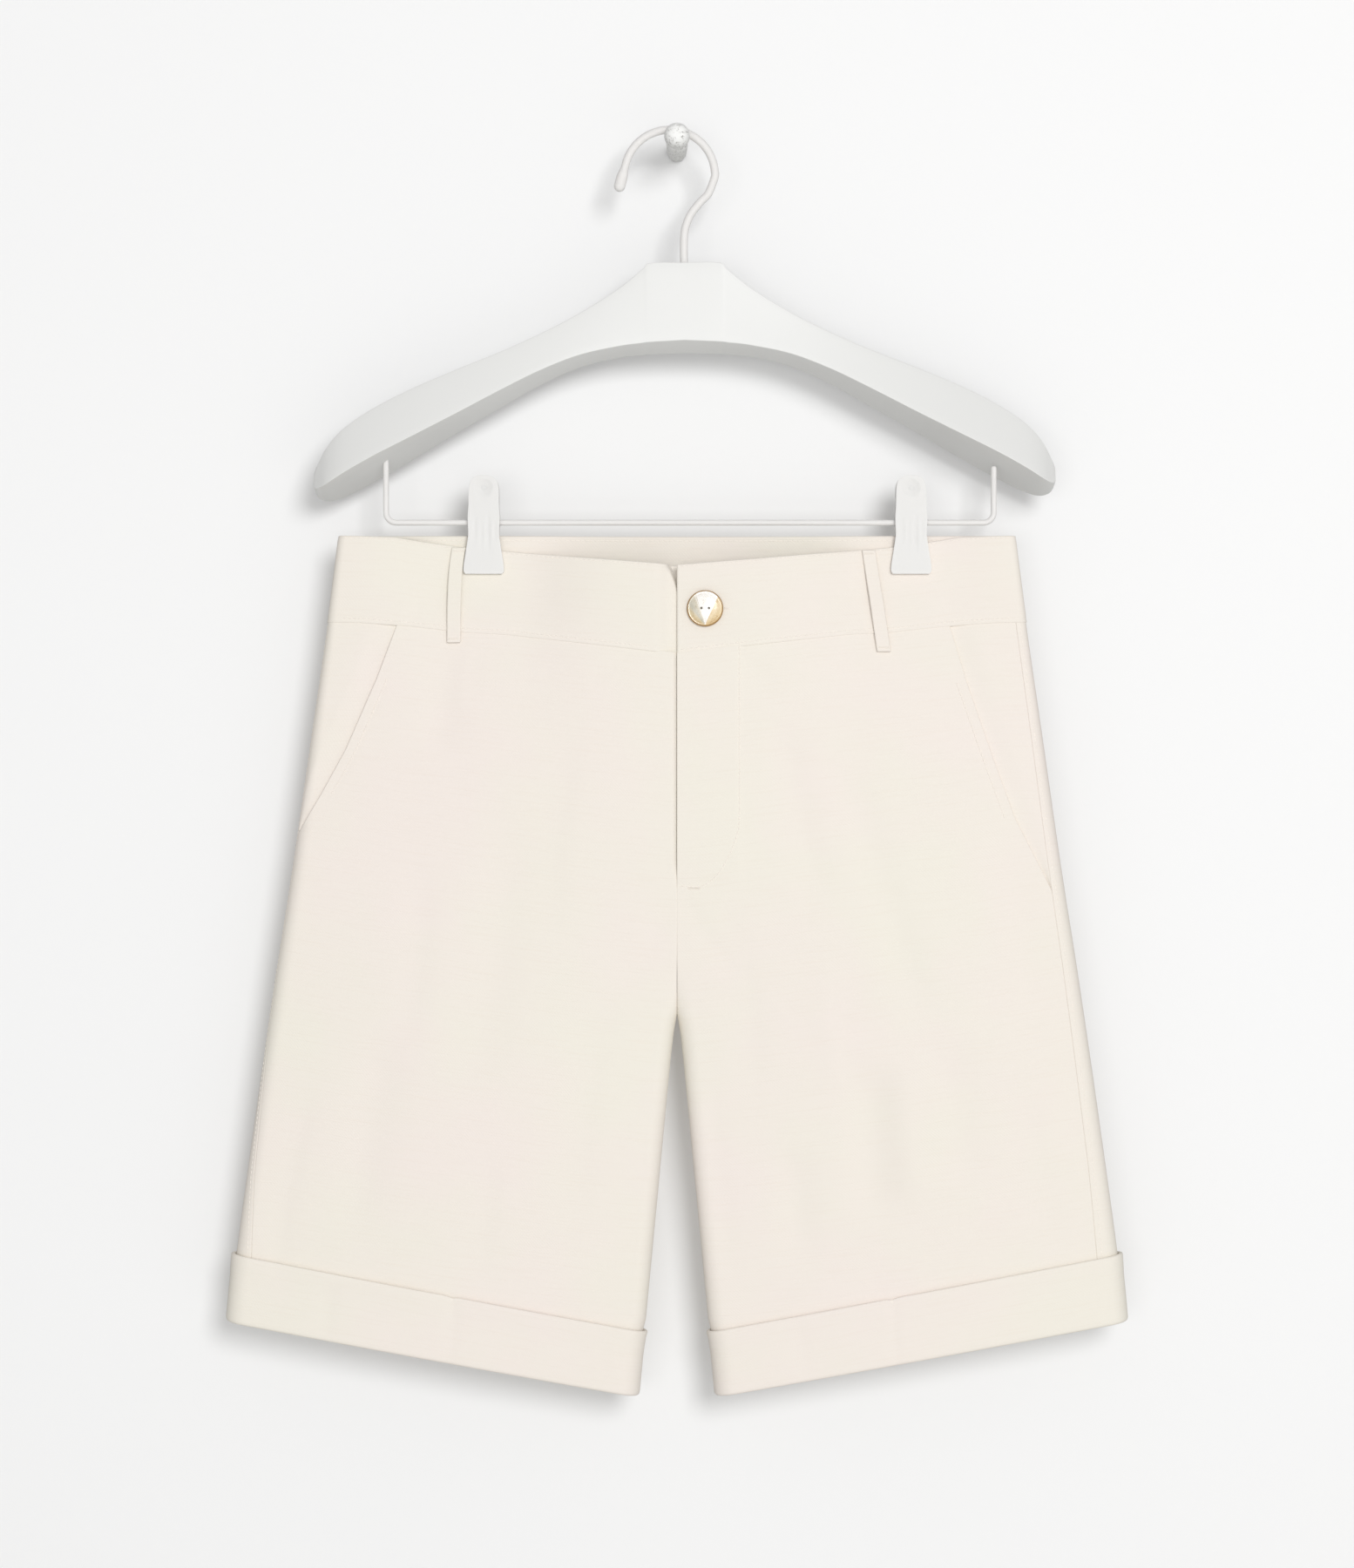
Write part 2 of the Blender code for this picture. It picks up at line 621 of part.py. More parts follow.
def make_panels():
    for side, name in ((-1, "left"), (1, "right")):
        levels = panel_levels(side)
        lift = fly_lift if side > 0 else 0.0
        sewn_wall(
            f"front_panel_{name}",
            lambda level: [(side, t) for t in front_turns(side, level)],
            levels,
            lift,
            PANEL_WALL,
        )
        sewn_wall(
            f"back_panel_{name}",
            lambda level: [(side, t) for t in back_turns(side, level)],
            levels,
            0.0,
            PANEL_WALL,
        )


def make_pocket_facings():
    """The hip piece that shows outside each slant pocket mouth and runs on behind the front."""
    for side, name in ((-1, "left"), (1, "right")):
        foot_z = POCKETS[side][-1].z
        inside = LEVELS[POCKET_FOOT].outer_x - FACING_INSIDE
        bottom = level_at(side, FRONT, inside, foot_z - FACING_BELOW)

        def columns(level):
            mouth = pocket_turn(side, level)
            end = side_seam_turn(side, level) - seam_turns(side, level)[1]
            mouth = end if mouth is None else min(mouth, end)
            start = mouth - FACING_UNDERLAP / row_at(level).outer_x
            return [(side, t) for t in spread(start, end, FACING_COLUMNS)]

        def depth(side, turn, level):
            mouth = pocket_turn(side, level)
            if mouth is None:
                return -FACING_DEPTH
            beyond = (turn - mouth) * row_at(level).outer_x
            above = cloth_point(side, turn, level).z - foot_z
            rise = smooth((beyond - FACING_RISE_PAST) / FACING_RISE_OVER)
            rise *= smooth((above - FACING_FLAT_ABOVE) / FACING_FLAT_OVER)
            return -FACING_DEPTH * (1 - rise)

        levels = [level for level in panel_levels(side) if level < bottom] + [bottom]
        sewn_wall(f"pocket_facing_{name}", columns, levels, depth, PANEL_WALL)


def make_fly_underlap():
    """The plain piece behind the fly, sewn to the left front."""
    bottom = level_at(1, FRONT, UNDERLAP_LEFT / 2, FLY_BOTTOM_Z + UNDERLAP_FOOT)

    def columns(level):
        left = turn_at(FRONT, UNDERLAP_LEFT, level)
        right = turn_at(FRONT, UNDERLAP_RIGHT, level)
        across = spread(0.0, right, UNDERLAP_COLUMNS)
        return [(-1, left), (-1, left / 2)] + [(1, t) for t in across]

    levels = spread(PANEL_TOP, bottom, UNDERLAP_ROWS)
    sewn_wall("fly_underlap", columns, levels, -PANEL_WALL - GAP, PANEL_WALL)


def make_waistband():
    levels = spread(float(WAIST_TOP), BAND_FOOT, BAND_ROWS)
    fold_gap = SEAM_HALF / LEVELS[WAIST_TOP].fold * FOLD_SHARE
    around = clustered(0.0, 1 - fold_gap, 2, BAND_FLAT_COLUMNS, BAND_SIDE_COLUMNS)

    def tucked(side, turn, level):
        x = cloth_point(side, turn, level).x
        return BAND_PROUD - BAND_TUCK * smooth((x - BAND_TUCK_FROM_X) / BAND_TUCK_OVER)

    def left_columns(level):
        under = spread(0.0, turn_at(FRONT, UNDERLAP_RIGHT, level), BAND_UNDER_COLUMNS)
        return [(-1, t) for t in reversed(around)] + [(1, t) for t in under[1:]]

    sewn_wall("waistband_front_left", left_columns, levels, tucked, BAND_WALL)
    right = [(1, t) for t in around]
    sewn_wall("waistband_front_right", lambda level: right, levels, BAND_PROUD, BAND_WALL)
    behind = [2 - t for t in around]
    back = [(-1, t) for t in reversed(behind)] + [(1, t) for t in behind[1:]]
    sewn_wall("waistband_back", lambda level: back, levels, BAND_PROUD, BAND_WALL)


def make_cuffs():
    """Turned-up hems, each cut at the inseam and the side seam; the leg's edge ends inside the fold."""
    for side, name in ((-1, "left"), (1, "right")):
        for face, turns_at in (("front", front_turns), ("back", back_turns)):
            rings = []
            for point in CUFF_SECTION:
                level = level_where("centre_z", LEVELS[HEM].centre_z + point.height)
                rings.append([lifted(side, t, level, point.off) for t in turns_at(side, level)])
            loft(f"cuff_{face}_{name}", [list(column) for column in zip(*rings)], COTTON)


def loft(name, sections, finish):
    """A solid through closed sections of the same number of points, with flat ends."""
    count = len(sections[0])
    points = [p for section in sections for p in section]
    faces = []
    for s in range(len(sections) - 1):
        for i in range(count):
            a, b = s * count + i, s * count + (i + 1) % count
            faces.append((a, b, b + count, a + count))
    faces.append(tuple(range(count))[::-1])
    faces.append(tuple(range((len(sections) - 1) * count, len(sections) * count)))
    return make_object(name, points, faces, finish)


def make_belt_loops():
    """Strips laid over the waistband, tacked at its top edge and below its seam, and bowed between."""
    for loop in BELT_LOOPS:
        side = -1 if loop.top_x < 0 else 1
        top_z = cloth_point(side, turn_at(loop.face, abs(loop.top_x), WAIST_TOP), WAIST_TOP).z
        seam_z = cloth_point(side, turn_at(loop.face, abs(loop.bottom_x), WAIST_SEAM), WAIST_SEAM).z
        heights = spread(top_z - 0.5, seam_z - loop.below_seam, LOOP_ROWS)
        outer, inner = [], []
        for z in heights:
            share = (top_z - z) / (top_z - heights[-1])
            middle = loop.bottom_x + (loop.top_x - loop.bottom_x) * (1 - share) ** loop.slant_power
            lift = BAND_PROUD + GAP + LOOP_BOW * math.sin(math.pi * share) ** 2
            outer_row, inner_row = [], []
            for x in spread(middle - LOOP_WIDTH / 2, middle + LOOP_WIDTH / 2, LOOP_COLUMNS):
                half = -1 if x < 0 else 1
                level = level_at(half, loop.face, abs(x), z)
                turn = turn_at(loop.face, abs(x), level)
                inner_row.append(lifted(half, turn, level, lift))
                outer_row.append(lifted(half, turn, level, lift + LOOP_WALL))
            outer.append(outer_row)
            inner.append(inner_row)
        wall_between(f"belt_loop_{loop.name}", outer, inner, COTTON)


# ------------------------------------------------------------------------------------- hard pieces


def turned(name, rings, finish, segments=20):
    """A solid of revolution about Z from (radius, height) pairs, bottom to top, closed at both ends."""
    sections = []
    for radius, height in rings:
        section = []
        for i in range(segments):
            angle = 2 * math.pi * i / segments
            section.append(Vector((radius * math.cos(angle), radius * math.sin(angle), height)))
        sections.append(section)
    return loft(name, sections, finish)


def cut_with(target, radius, start, end):
    """Cuts a round hole between two points, with a cylinder that stays in the scene as a cutter."""
    axis = Vector(end) - Vector(start)
    bpy.ops.mesh.primitive_cylinder_add(
        vertices=16,
        radius=radius * MM,
        depth=axis.length * MM,
        location=(Vector(start) + axis / 2) * MM,
        rotation=axis.to_track_quat("Z", "Y").to_euler(),
    )
    cutter = bpy.context.object
    cutter.name = f"{target.name}_cutter_{len(target.modifiers)}"
    cutter.hide_render = True
    cutter.display_type = "WIRE"
    hole = target.modifiers.new("hole", "BOOLEAN")
    hole.operation = "DIFFERENCE"
    hole.object = cutter


def make_button():
    """A domed pearl button with two thread holes, lying on the waistband."""
    button = turned("waist_button", BUTTON_RINGS, PEARL, 24)
    level = level_at(1, FRONT, BUTTON_X, BUTTON_Z)
    turn = turn_at(FRONT, BUTTON_X, level)
    normal = cloth_normal(1, turn, level)
    seat = lifted(1, turn, level, BAND_PROUD + GAP)
    matrix = normal.to_track_quat("Z", "Y").to_matrix().to_4x4()
    matrix.translation = seat * MM
    button.data.transform(matrix)
    across = Vector((0, 0, 1)).cross(normal).normalized() * BUTTON_HOLE_FROM_MIDDLE
    for offset in (-across, across):
        cut_with(button, BUTTON_HOLE, seat + offset - normal * 3, seat + offset + normal * 8)


def rounded_outline(corners, radius, steps=3):
    """A closed outline in (y, z) with each corner rounded by a short arc of points."""
    outline = []
    count = len(corners)
    for i, corner in enumerate(corners):
        here = Vector(corner)
        before, after = Vector(corners[i - 1]), Vector(corners[(i + 1) % count])
        reach_in = min(radius, (before - here).length * 0.45)
        reach_out = min(radius, (after - here).length * 0.45)
        start = here + (before - here).normalized() * reach_in
        end = here + (after - here).normalized() * reach_out
        for step in range(steps + 1):
            t = step / steps
            outline.append(start * (1 - t) ** 2 + here * (2 * t * (1 - t)) + end * t**2)
    return outline


def hanger_section(station, side):
    outline = rounded_outline(
        (
            (-station.top_half, station.top),
            (station.top_half, station.top),
            (station.back_half, station.back_low),
            (-station.front_half, station.front_low),
        ),
        EDGE_RADIUS,
    )
    x = HANGER_X + side * station.x
    rise = (x - HANGER_X) * math.tan(HANGER_TILT)
    return [Vector((x, HANG_Y + y, z + rise)) for y, z in outline]


def tip_section(side):
    """The rounded end of a hanger arm: the last station drawn in towards its middle."""
    last = hanger_section(STATIONS[-1], side)
    middle = sum(last, Vector()) / len(last)
    drawn = [middle + (p - middle) * TIP_SHARE for p in last]
    return [p + Vector((side * TIP_OUT, 0, -TIP_DROP)) for p in drawn]


def arm_underside(x):
    """Height of the hanger's underside in its middle plane."""
    station_x = abs(x - HANGER_X)
    front = between(STATIONS, "x", station_x, "front_low")
    back = between(STATIONS, "x", station_x, "back_low")
    return (front + back) / 2 + (x - HANGER_X) * math.tan(HANGER_TILT)


def make_hanger_body():
    sections = [tip_section(-1)]
    sections += [hanger_section(station, -1) for station in reversed(STATIONS)]
    sections += [hanger_section(station, 1) for station in STATIONS[1:]]
    sections.append(tip_section(1))
    body = loft("hanger_body", sections, HANGER_PLASTIC)
    top = STATIONS[0].top
    cut_with(
        body,
        HOOK_WIRE + GAP,
        (HANGER_X, HANG_Y, top - HOOK_SOCKET_DEPTH),
        (HANGER_X, HANG_Y, top + 10),
    )
    for x in (BAR_LEFT_X, BAR_RIGHT_X):
        mouth = arm_underside(x)
        cut_with(body, BAR_WIRE + GAP, (x, HANG_Y, mouth - 20), (x, HANG_Y, mouth + BAR_SOCKET_DEPTH))


def wire(name, route, radius, finish):
    """A round rod along a route of points, with flat ends."""
    curve = bpy.data.curves.new(name, "CURVE")
    curve.dimensions = "3D"
    curve.bevel_depth = radius * MM
    curve.bevel_resolution = 2
    curve.use_fill_caps = True
    spline = curve.splines.new("POLY")
    spline.points.add(len(route) - 1)
    for point, place in zip(spline.points, route):
        point.co = (*(Vector(place) * MM), 1.0)
    curve.materials.append(finish_of(name, finish))
    obj = bpy.data.objects.new(name, curve)
    bpy.context.collection.objects.link(obj)
    return obj


def smooth_route(points, steps):
    """Points on a smooth curve through the given ones."""
    route = []
    for i in range(len(points) - 1):
        a, b = points[max(i - 1, 0)], points[i]
        c, d = points[i + 1], points[min(i + 2, len(points) - 1)]
        for step in range(steps):
            t = step / steps
            route.append(
                b + (c - a) * (0.5 * t)
                + (2 * a - 5 * b + 4 * c - d) * (0.5 * t * t)
                + (3 * b - 3 * c + d - a) * (0.5 * t**3)
            )
    return route + [points[-1]]


def make_hook():
    """A bent wire hook: a straight neck in the hanger, an S bend and a round arc over the peg."""
    neck = (HANGER_X, STATIONS[0].top - HOOK_SOCKET_DEPTH + 1)
    arc = []
    for degrees in range(HOOK_ARC_START, HOOK_ARC_END, HOOK_ARC_STEP):
        angle = math.radians(degrees)
        x = HOOK_ARC_X + HOOK_ARC_RADIUS * math.cos(angle)
        arc.append((x, HOOK_ARC_Z + HOOK_ARC_RADIUS * math.sin(angle)))
    places = [Vector((x, HANG_Y, z)) for x, z in (neck, *HOOK_BEND, *arc, HOOK_TIP)]
    wire("hanger_hook", places[:1] + smooth_route(places[1:], 2), HOOK_WIRE, COATED_STEEL)


def make_bar():
    """The bar that carries the clips: a rod bent up into a post at each end."""
    route = [(BAR_LEFT_X, HANG_Y, arm_underside(BAR_LEFT_X) + BAR_SOCKET_DEPTH - 1)]
    for x, inward in ((BAR_LEFT_X, 1), (BAR_RIGHT_X, -1)):
        corner = []
        for step in range(7):
            angle = math.radians(15 * step)
            corner.append(
                (
                    x + inward * BAR_BEND * (1 - math.cos(angle)),
                    HANG_Y,
                    BAR_Z + BAR_BEND * (1 - math.sin(angle)),
                )
            )
        route += corner if inward > 0 else corner[::-1]
    route.append((BAR_RIGHT_X, HANG_Y, arm_underside(BAR_RIGHT_X) + BAR_SOCKET_DEPTH - 1))
    wire("clip_bar", route, BAR_WIRE, COATED_STEEL)


def make_jaw(name, x, face):
    """One jaw of a clip: a waisted plate with soft edges, its flat inner face towards the cloth."""
    sections = []
    for row in JAW_ROWS:
        edge = min(JAW_EDGE, row.half * 0.3)
        inner, outer = JAW_INNER, JAW_INNER + JAW_WALL
        profile = (
            (-row.half, inner),
            (row.half, inner),
            (row.half, outer - edge),
            (row.half - edge, outer),
            (-row.half + edge, outer),
            (-row.half, outer - edge),
        )
        sections.append([Vector((x + px, HANG_Y + face * py, row.z)) for px, py in profile])
    jaw = loft(name, sections, CLIP_PLASTIC)
    cut_with(
        jaw,
        RIVET_RADIUS + GAP,
        (x, HANG_Y + face * (JAW_INNER - 1.5), RIVET_Z),
        (x, HANG_Y + face * (JAW_INNER + JAW_WALL + 1.5), RIVET_Z),
    )


def make_pivot(name, x):
    """The rivet that joins the jaws, with the block that sits on the bar between them."""
    head = JAW_INNER + JAW_WALL + GAP
    half = JAW_INNER - GAP
    upper = (
        (RIVET_RADIUS, head),
        (RIVET_HEAD, head),
        (RIVET_SHOULDER, head + SHOULDER_RISE),
        (RIVET_CROWN, head + CROWN_RISE),
    )
    rings = [(radius, -height) for radius, height in reversed(upper)] + list(upper)
    rivet = turned(name, rings, CLIP_PLASTIC, 16)
    matrix = Vector((0, -1, 0)).to_track_quat("Z", "Y").to_matrix().to_4x4()
    matrix.translation = Vector((x, HANG_Y, RIVET_Z)) * MM
    rivet.data.transform(matrix)
    low, high = BAR_Z + BAR_WIRE + GAP, RIVET_Z + BLOCK_ABOVE
    bpy.ops.mesh.primitive_cube_add(location=Vector((x, HANG_Y, (low + high) / 2)) * MM)
    block = bpy.context.object
    block.name = name + "_block"
    block.data.transform(Matrix.Diagonal((BLOCK_HALF * MM, half * MM, (high - low) / 2 * MM, 1.0)))
    block.hide_render = True
    block.display_type = "WIRE"
    join = rivet.modifiers.new("block", "BOOLEAN")
    join.operation = "UNION"
    join.object = block


def make_clips():
    for side, name in ((-1, "left"), (1, "right")):
        make_jaw(f"clip_{name}_front_jaw", CLIP_X[side], FRONT)
        make_jaw(f"clip_{name}_back_jaw", CLIP_X[side], BACK)
        make_pivot(f"clip_{name}_pivot", CLIP_X[side])


def make_peg():
    """A turned wooden peg with a groove behind its head, which the hook rests in."""
    rings = [(ring.radius, -ring.y) for ring in PEG_RINGS]
    peg = turned("wall_peg", rings, PAINTED_WOOD, 20)
    matrix = Vector((0, -1, 0)).to_track_quat("Z", "Y").to_matrix().to_4x4()
    peg.data.transform(matrix)


clear_scene()
make_panels()
make_pocket_facings()
make_fly_underlap()
make_waistband()
make_cuffs()
make_belt_loops()
make_button()
make_hanger_body()
make_hook()
make_bar()
make_clips()
make_peg()
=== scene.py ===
"""Cream bermuda shorts with turned-up hems, clipped to a white hanger that hangs on a wall peg.

Lengths are in millimetres in the tables and become metres where a mesh is made. The front faces -Y.
"""

import math
from collections import namedtuple

import bmesh
import bpy
import numpy as np
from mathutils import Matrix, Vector


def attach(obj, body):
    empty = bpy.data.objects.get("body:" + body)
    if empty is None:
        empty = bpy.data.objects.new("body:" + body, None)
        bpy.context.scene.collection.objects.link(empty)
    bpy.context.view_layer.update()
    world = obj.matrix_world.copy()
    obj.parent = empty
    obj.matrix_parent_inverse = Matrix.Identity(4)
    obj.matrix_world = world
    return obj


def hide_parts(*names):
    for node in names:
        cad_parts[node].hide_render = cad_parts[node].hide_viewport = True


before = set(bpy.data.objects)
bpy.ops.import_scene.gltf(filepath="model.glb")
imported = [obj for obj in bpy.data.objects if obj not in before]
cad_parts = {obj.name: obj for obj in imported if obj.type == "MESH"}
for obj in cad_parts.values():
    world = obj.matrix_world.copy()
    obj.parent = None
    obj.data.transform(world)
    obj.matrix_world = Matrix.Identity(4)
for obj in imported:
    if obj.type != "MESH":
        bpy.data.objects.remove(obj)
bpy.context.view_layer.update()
bpy.ops.object.select_all(action="DESELECT")


# ---------------------------------------------------------------------------- camera, light and wall
# A long lens square to the wall, a broad soft light from the upper right, a low wide one from the left
# and an even pale room. The wall stands at the peg's foot and takes the soft shadows. It casts none
# itself and sends no light back to the pieces, so the room lights the back of the shorts too.

MM = 0.001
VIEW_Y, VIEW_Z = -2.142, -0.377
SHORTS_MIDDLE = Vector((0, -0.04, VIEW_Z))


def linear(hex_colour):
    """A colour written as sRGB hex, as linear values."""
    channels = [int(hex_colour[i : i + 2], 16) / 255 for i in (1, 3, 5)]
    return [c / 12.92 if c <= 0.04045 else ((c + 0.055) / 1.055) ** 2.4 for c in channels]


def add_node(material, kind, settings=None, inputs=None):
    """Adds a node with its settings. An input's value is a number, a colour or another node's output."""
    node = material.node_tree.nodes.new(kind)
    for name, value in (settings or {}).items():
        setattr(node, name, value)
    for name, value in (inputs or {}).items():
        if isinstance(value, bpy.types.NodeSocket):
            material.node_tree.links.new(value, node.inputs[name])
        else:
            node.inputs[name].default_value = value
    return node


def new_material(name, colour, roughness, **inputs):
    """A material whose shader has the given base colour, roughness and other values."""
    material = bpy.data.materials.new(name)
    material.use_nodes = True
    shader = material.node_tree.nodes["Principled BSDF"]
    shader.inputs["Base Color"].default_value = (*linear(colour), 1.0)
    shader.inputs["Roughness"].default_value = roughness
    for socket, value in inputs.items():
        shader.inputs[socket.replace("_", " ")].default_value = value
    return material, shader


camera = bpy.data.objects.new("camera", bpy.data.cameras.new("camera"))
camera.location = (0, VIEW_Y, VIEW_Z)
camera.rotation_euler = (math.radians(90), 0, 0)
camera.data.lens = 82.35
camera.data.sensor_width = 36
camera.data.clip_end = 50
bpy.context.collection.objects.link(camera)
bpy.context.scene.camera = camera


def soft_light(name, place, width, height, energy):
    """A rectangular or round soft light that faces the middle of the shorts."""
    light = bpy.data.lights.new(name, "AREA")
    light.shape = "ELLIPSE" if width == height else "RECTANGLE"
    light.size, light.size_y = width, height
    light.energy = energy
    holder = bpy.data.objects.new(name, light)
    holder.location = place
    aim = SHORTS_MIDDLE - holder.location
    holder.rotation_euler = aim.to_track_quat("-Z", "Y").to_euler()
    bpy.context.collection.objects.link(holder)


soft_light("key", (1.0, -4.2, 0.6), width=1.5, height=1.5, energy=83)
soft_light("fill", (-0.35, -5.0, -0.6), width=3.0, height=1.3, energy=40)

world = bpy.data.worlds.new("pale_room")
world.use_nodes = True
world.node_tree.nodes["Background"].inputs["Color"].default_value = (1, 1, 1, 1)
world.node_tree.nodes["Background"].inputs["Strength"].default_value = 0.42
bpy.context.scene.world = world
bpy.context.scene.view_settings.view_transform = "Standard"

# Matt emulsion paint, which sends light back evenly. Seen from behind it is clear, so the back shows.
wall_paint, shader = new_material("matt_white_wall_paint", "#F4F4F4", 0.9)
shader.inputs["Specular IOR Level"].default_value = 0.2
seen = add_node(wall_paint, "ShaderNodeNewGeometry")
clear = add_node(wall_paint, "ShaderNodeBsdfTransparent")
facing = add_node(wall_paint, "ShaderNodeMixShader", {}, {0: seen.outputs["Backfacing"]})
links = wall_paint.node_tree.links
links.new(shader.outputs[0], facing.inputs[1])
links.new(clear.outputs[0], facing.inputs[2])
links.new(facing.outputs[0], wall_paint.node_tree.nodes["Material Output"].inputs["Surface"])

WALL_HALF, WALL_Y, FLOOR_Z = 3.0, 0.001, -1.15
bpy.ops.mesh.primitive_plane_add(size=2 * WALL_HALF, location=(0, WALL_Y, 0), rotation=(math.pi / 2, 0, 0))
wall = bpy.context.object
wall.name = "stage_wall"
wall.data.materials.append(wall_paint)
wall.visible_shadow = False
wall.visible_diffuse = False
bpy.ops.mesh.primitive_plane_add(size=2 * WALL_HALF, location=(0, 0, FLOOR_Z))
floor = bpy.context.object
floor.name = "stage_floor"
floor.data.materials.append(new_material("matt_pale_floor", "#EEEEEC", 0.85)[0])


# ------------------------------------------------------------------------------- cloth of the shorts
# Cream cotton and linen in a plain weave. The form is one soft surface for all the pieces: levels run
# down the garment, and turns run from the centre front over the side fold to the centre back.

GAP = 0.3
PANEL_WALL = 1.2
HANG_Y = -42.0
FRONT, BACK = -1, 1

Level = namedtuple("Level", "outer_z centre_z outer_x fold front_swell back_swell")
LEVELS = np.array(
    (
        (-231.7, -231.7, 197.7, 4.3, 9.2, 2.6),
        (-282.9, -282.9, 204.3, 5.2, 9.5, 4.5),
        (-350.0, -351.5, 214.0, 7.0, 8.0, 7.0),
        (-425.0, -432.0, 224.8, 8.4, 6.5, 7.5),
        (-495.0, -512.7, 235.7, 9.0, 4.5, 5.0),
        (-577.0, -606.0, 247.6, 9.2, 3.4, 3.2),
        (-651.2, -696.2, 257.8, 9.4, 2.6, 2.6),
        (-690.8, -734.4, 261.9, 9.5, 2.5, 2.5),
    )
)
WAIST_TOP, WAIST_SEAM, POCKET_FOOT, CROTCH, CUFF_TOP, HEM = 0, 1, 3, 4, 6, 7
WAIST_SEAM_Z, CROTCH_Z = LEVELS[WAIST_SEAM][0], LEVELS[CROTCH][1]
CUFF_TOP_Z, HEM_Z = LEVELS[CUFF_TOP][1], LEVELS[HEM][1]
PANEL_TOP = WAIST_SEAM - 0.02

# How much lower than the back the front is cut: distance from the middle, at the top and at the seam.
DROP_X = (0, 50, 100, 125, 150, 165, 185, 200)
DROP_TOP = (17.6, 13.6, 9.1, 6.9, 3.4, 1.0, 0.3, 0)
DROP_SEAM = (18.9, 12.9, 7.2, 5.8, 3.0, 1.6, 0.3, 0)
DROP_FADES_OVER = 150.0
SEAT_CURVE_HEIGHT = 35.0
INSEAM_SLOPE, INSEAM_START, INSEAM_ROUND = 0.095, 1.3, 8.0
CUFF_WALL, CUFF_TUCK_ABOVE, CUFF_TUCK_OVER = 1.8, 8.0, 14.0
LEG_FORM_FROM, LEG_FORM_OVER = -400.0, 160.0
FOLD_SHARE = 0.07
TURN_STEP, LEVEL_STEP, HALVINGS = 0.002, 0.01, 26

CLIP_X = {-1: -112.9, 1: 136.8}
HELD_TO_Z, HELD_HALF, HELD_WIDTH = -265.0, 1.75, 20.0
PINCH_SPREAD, PINCH_FALL = 34.0, 45.0

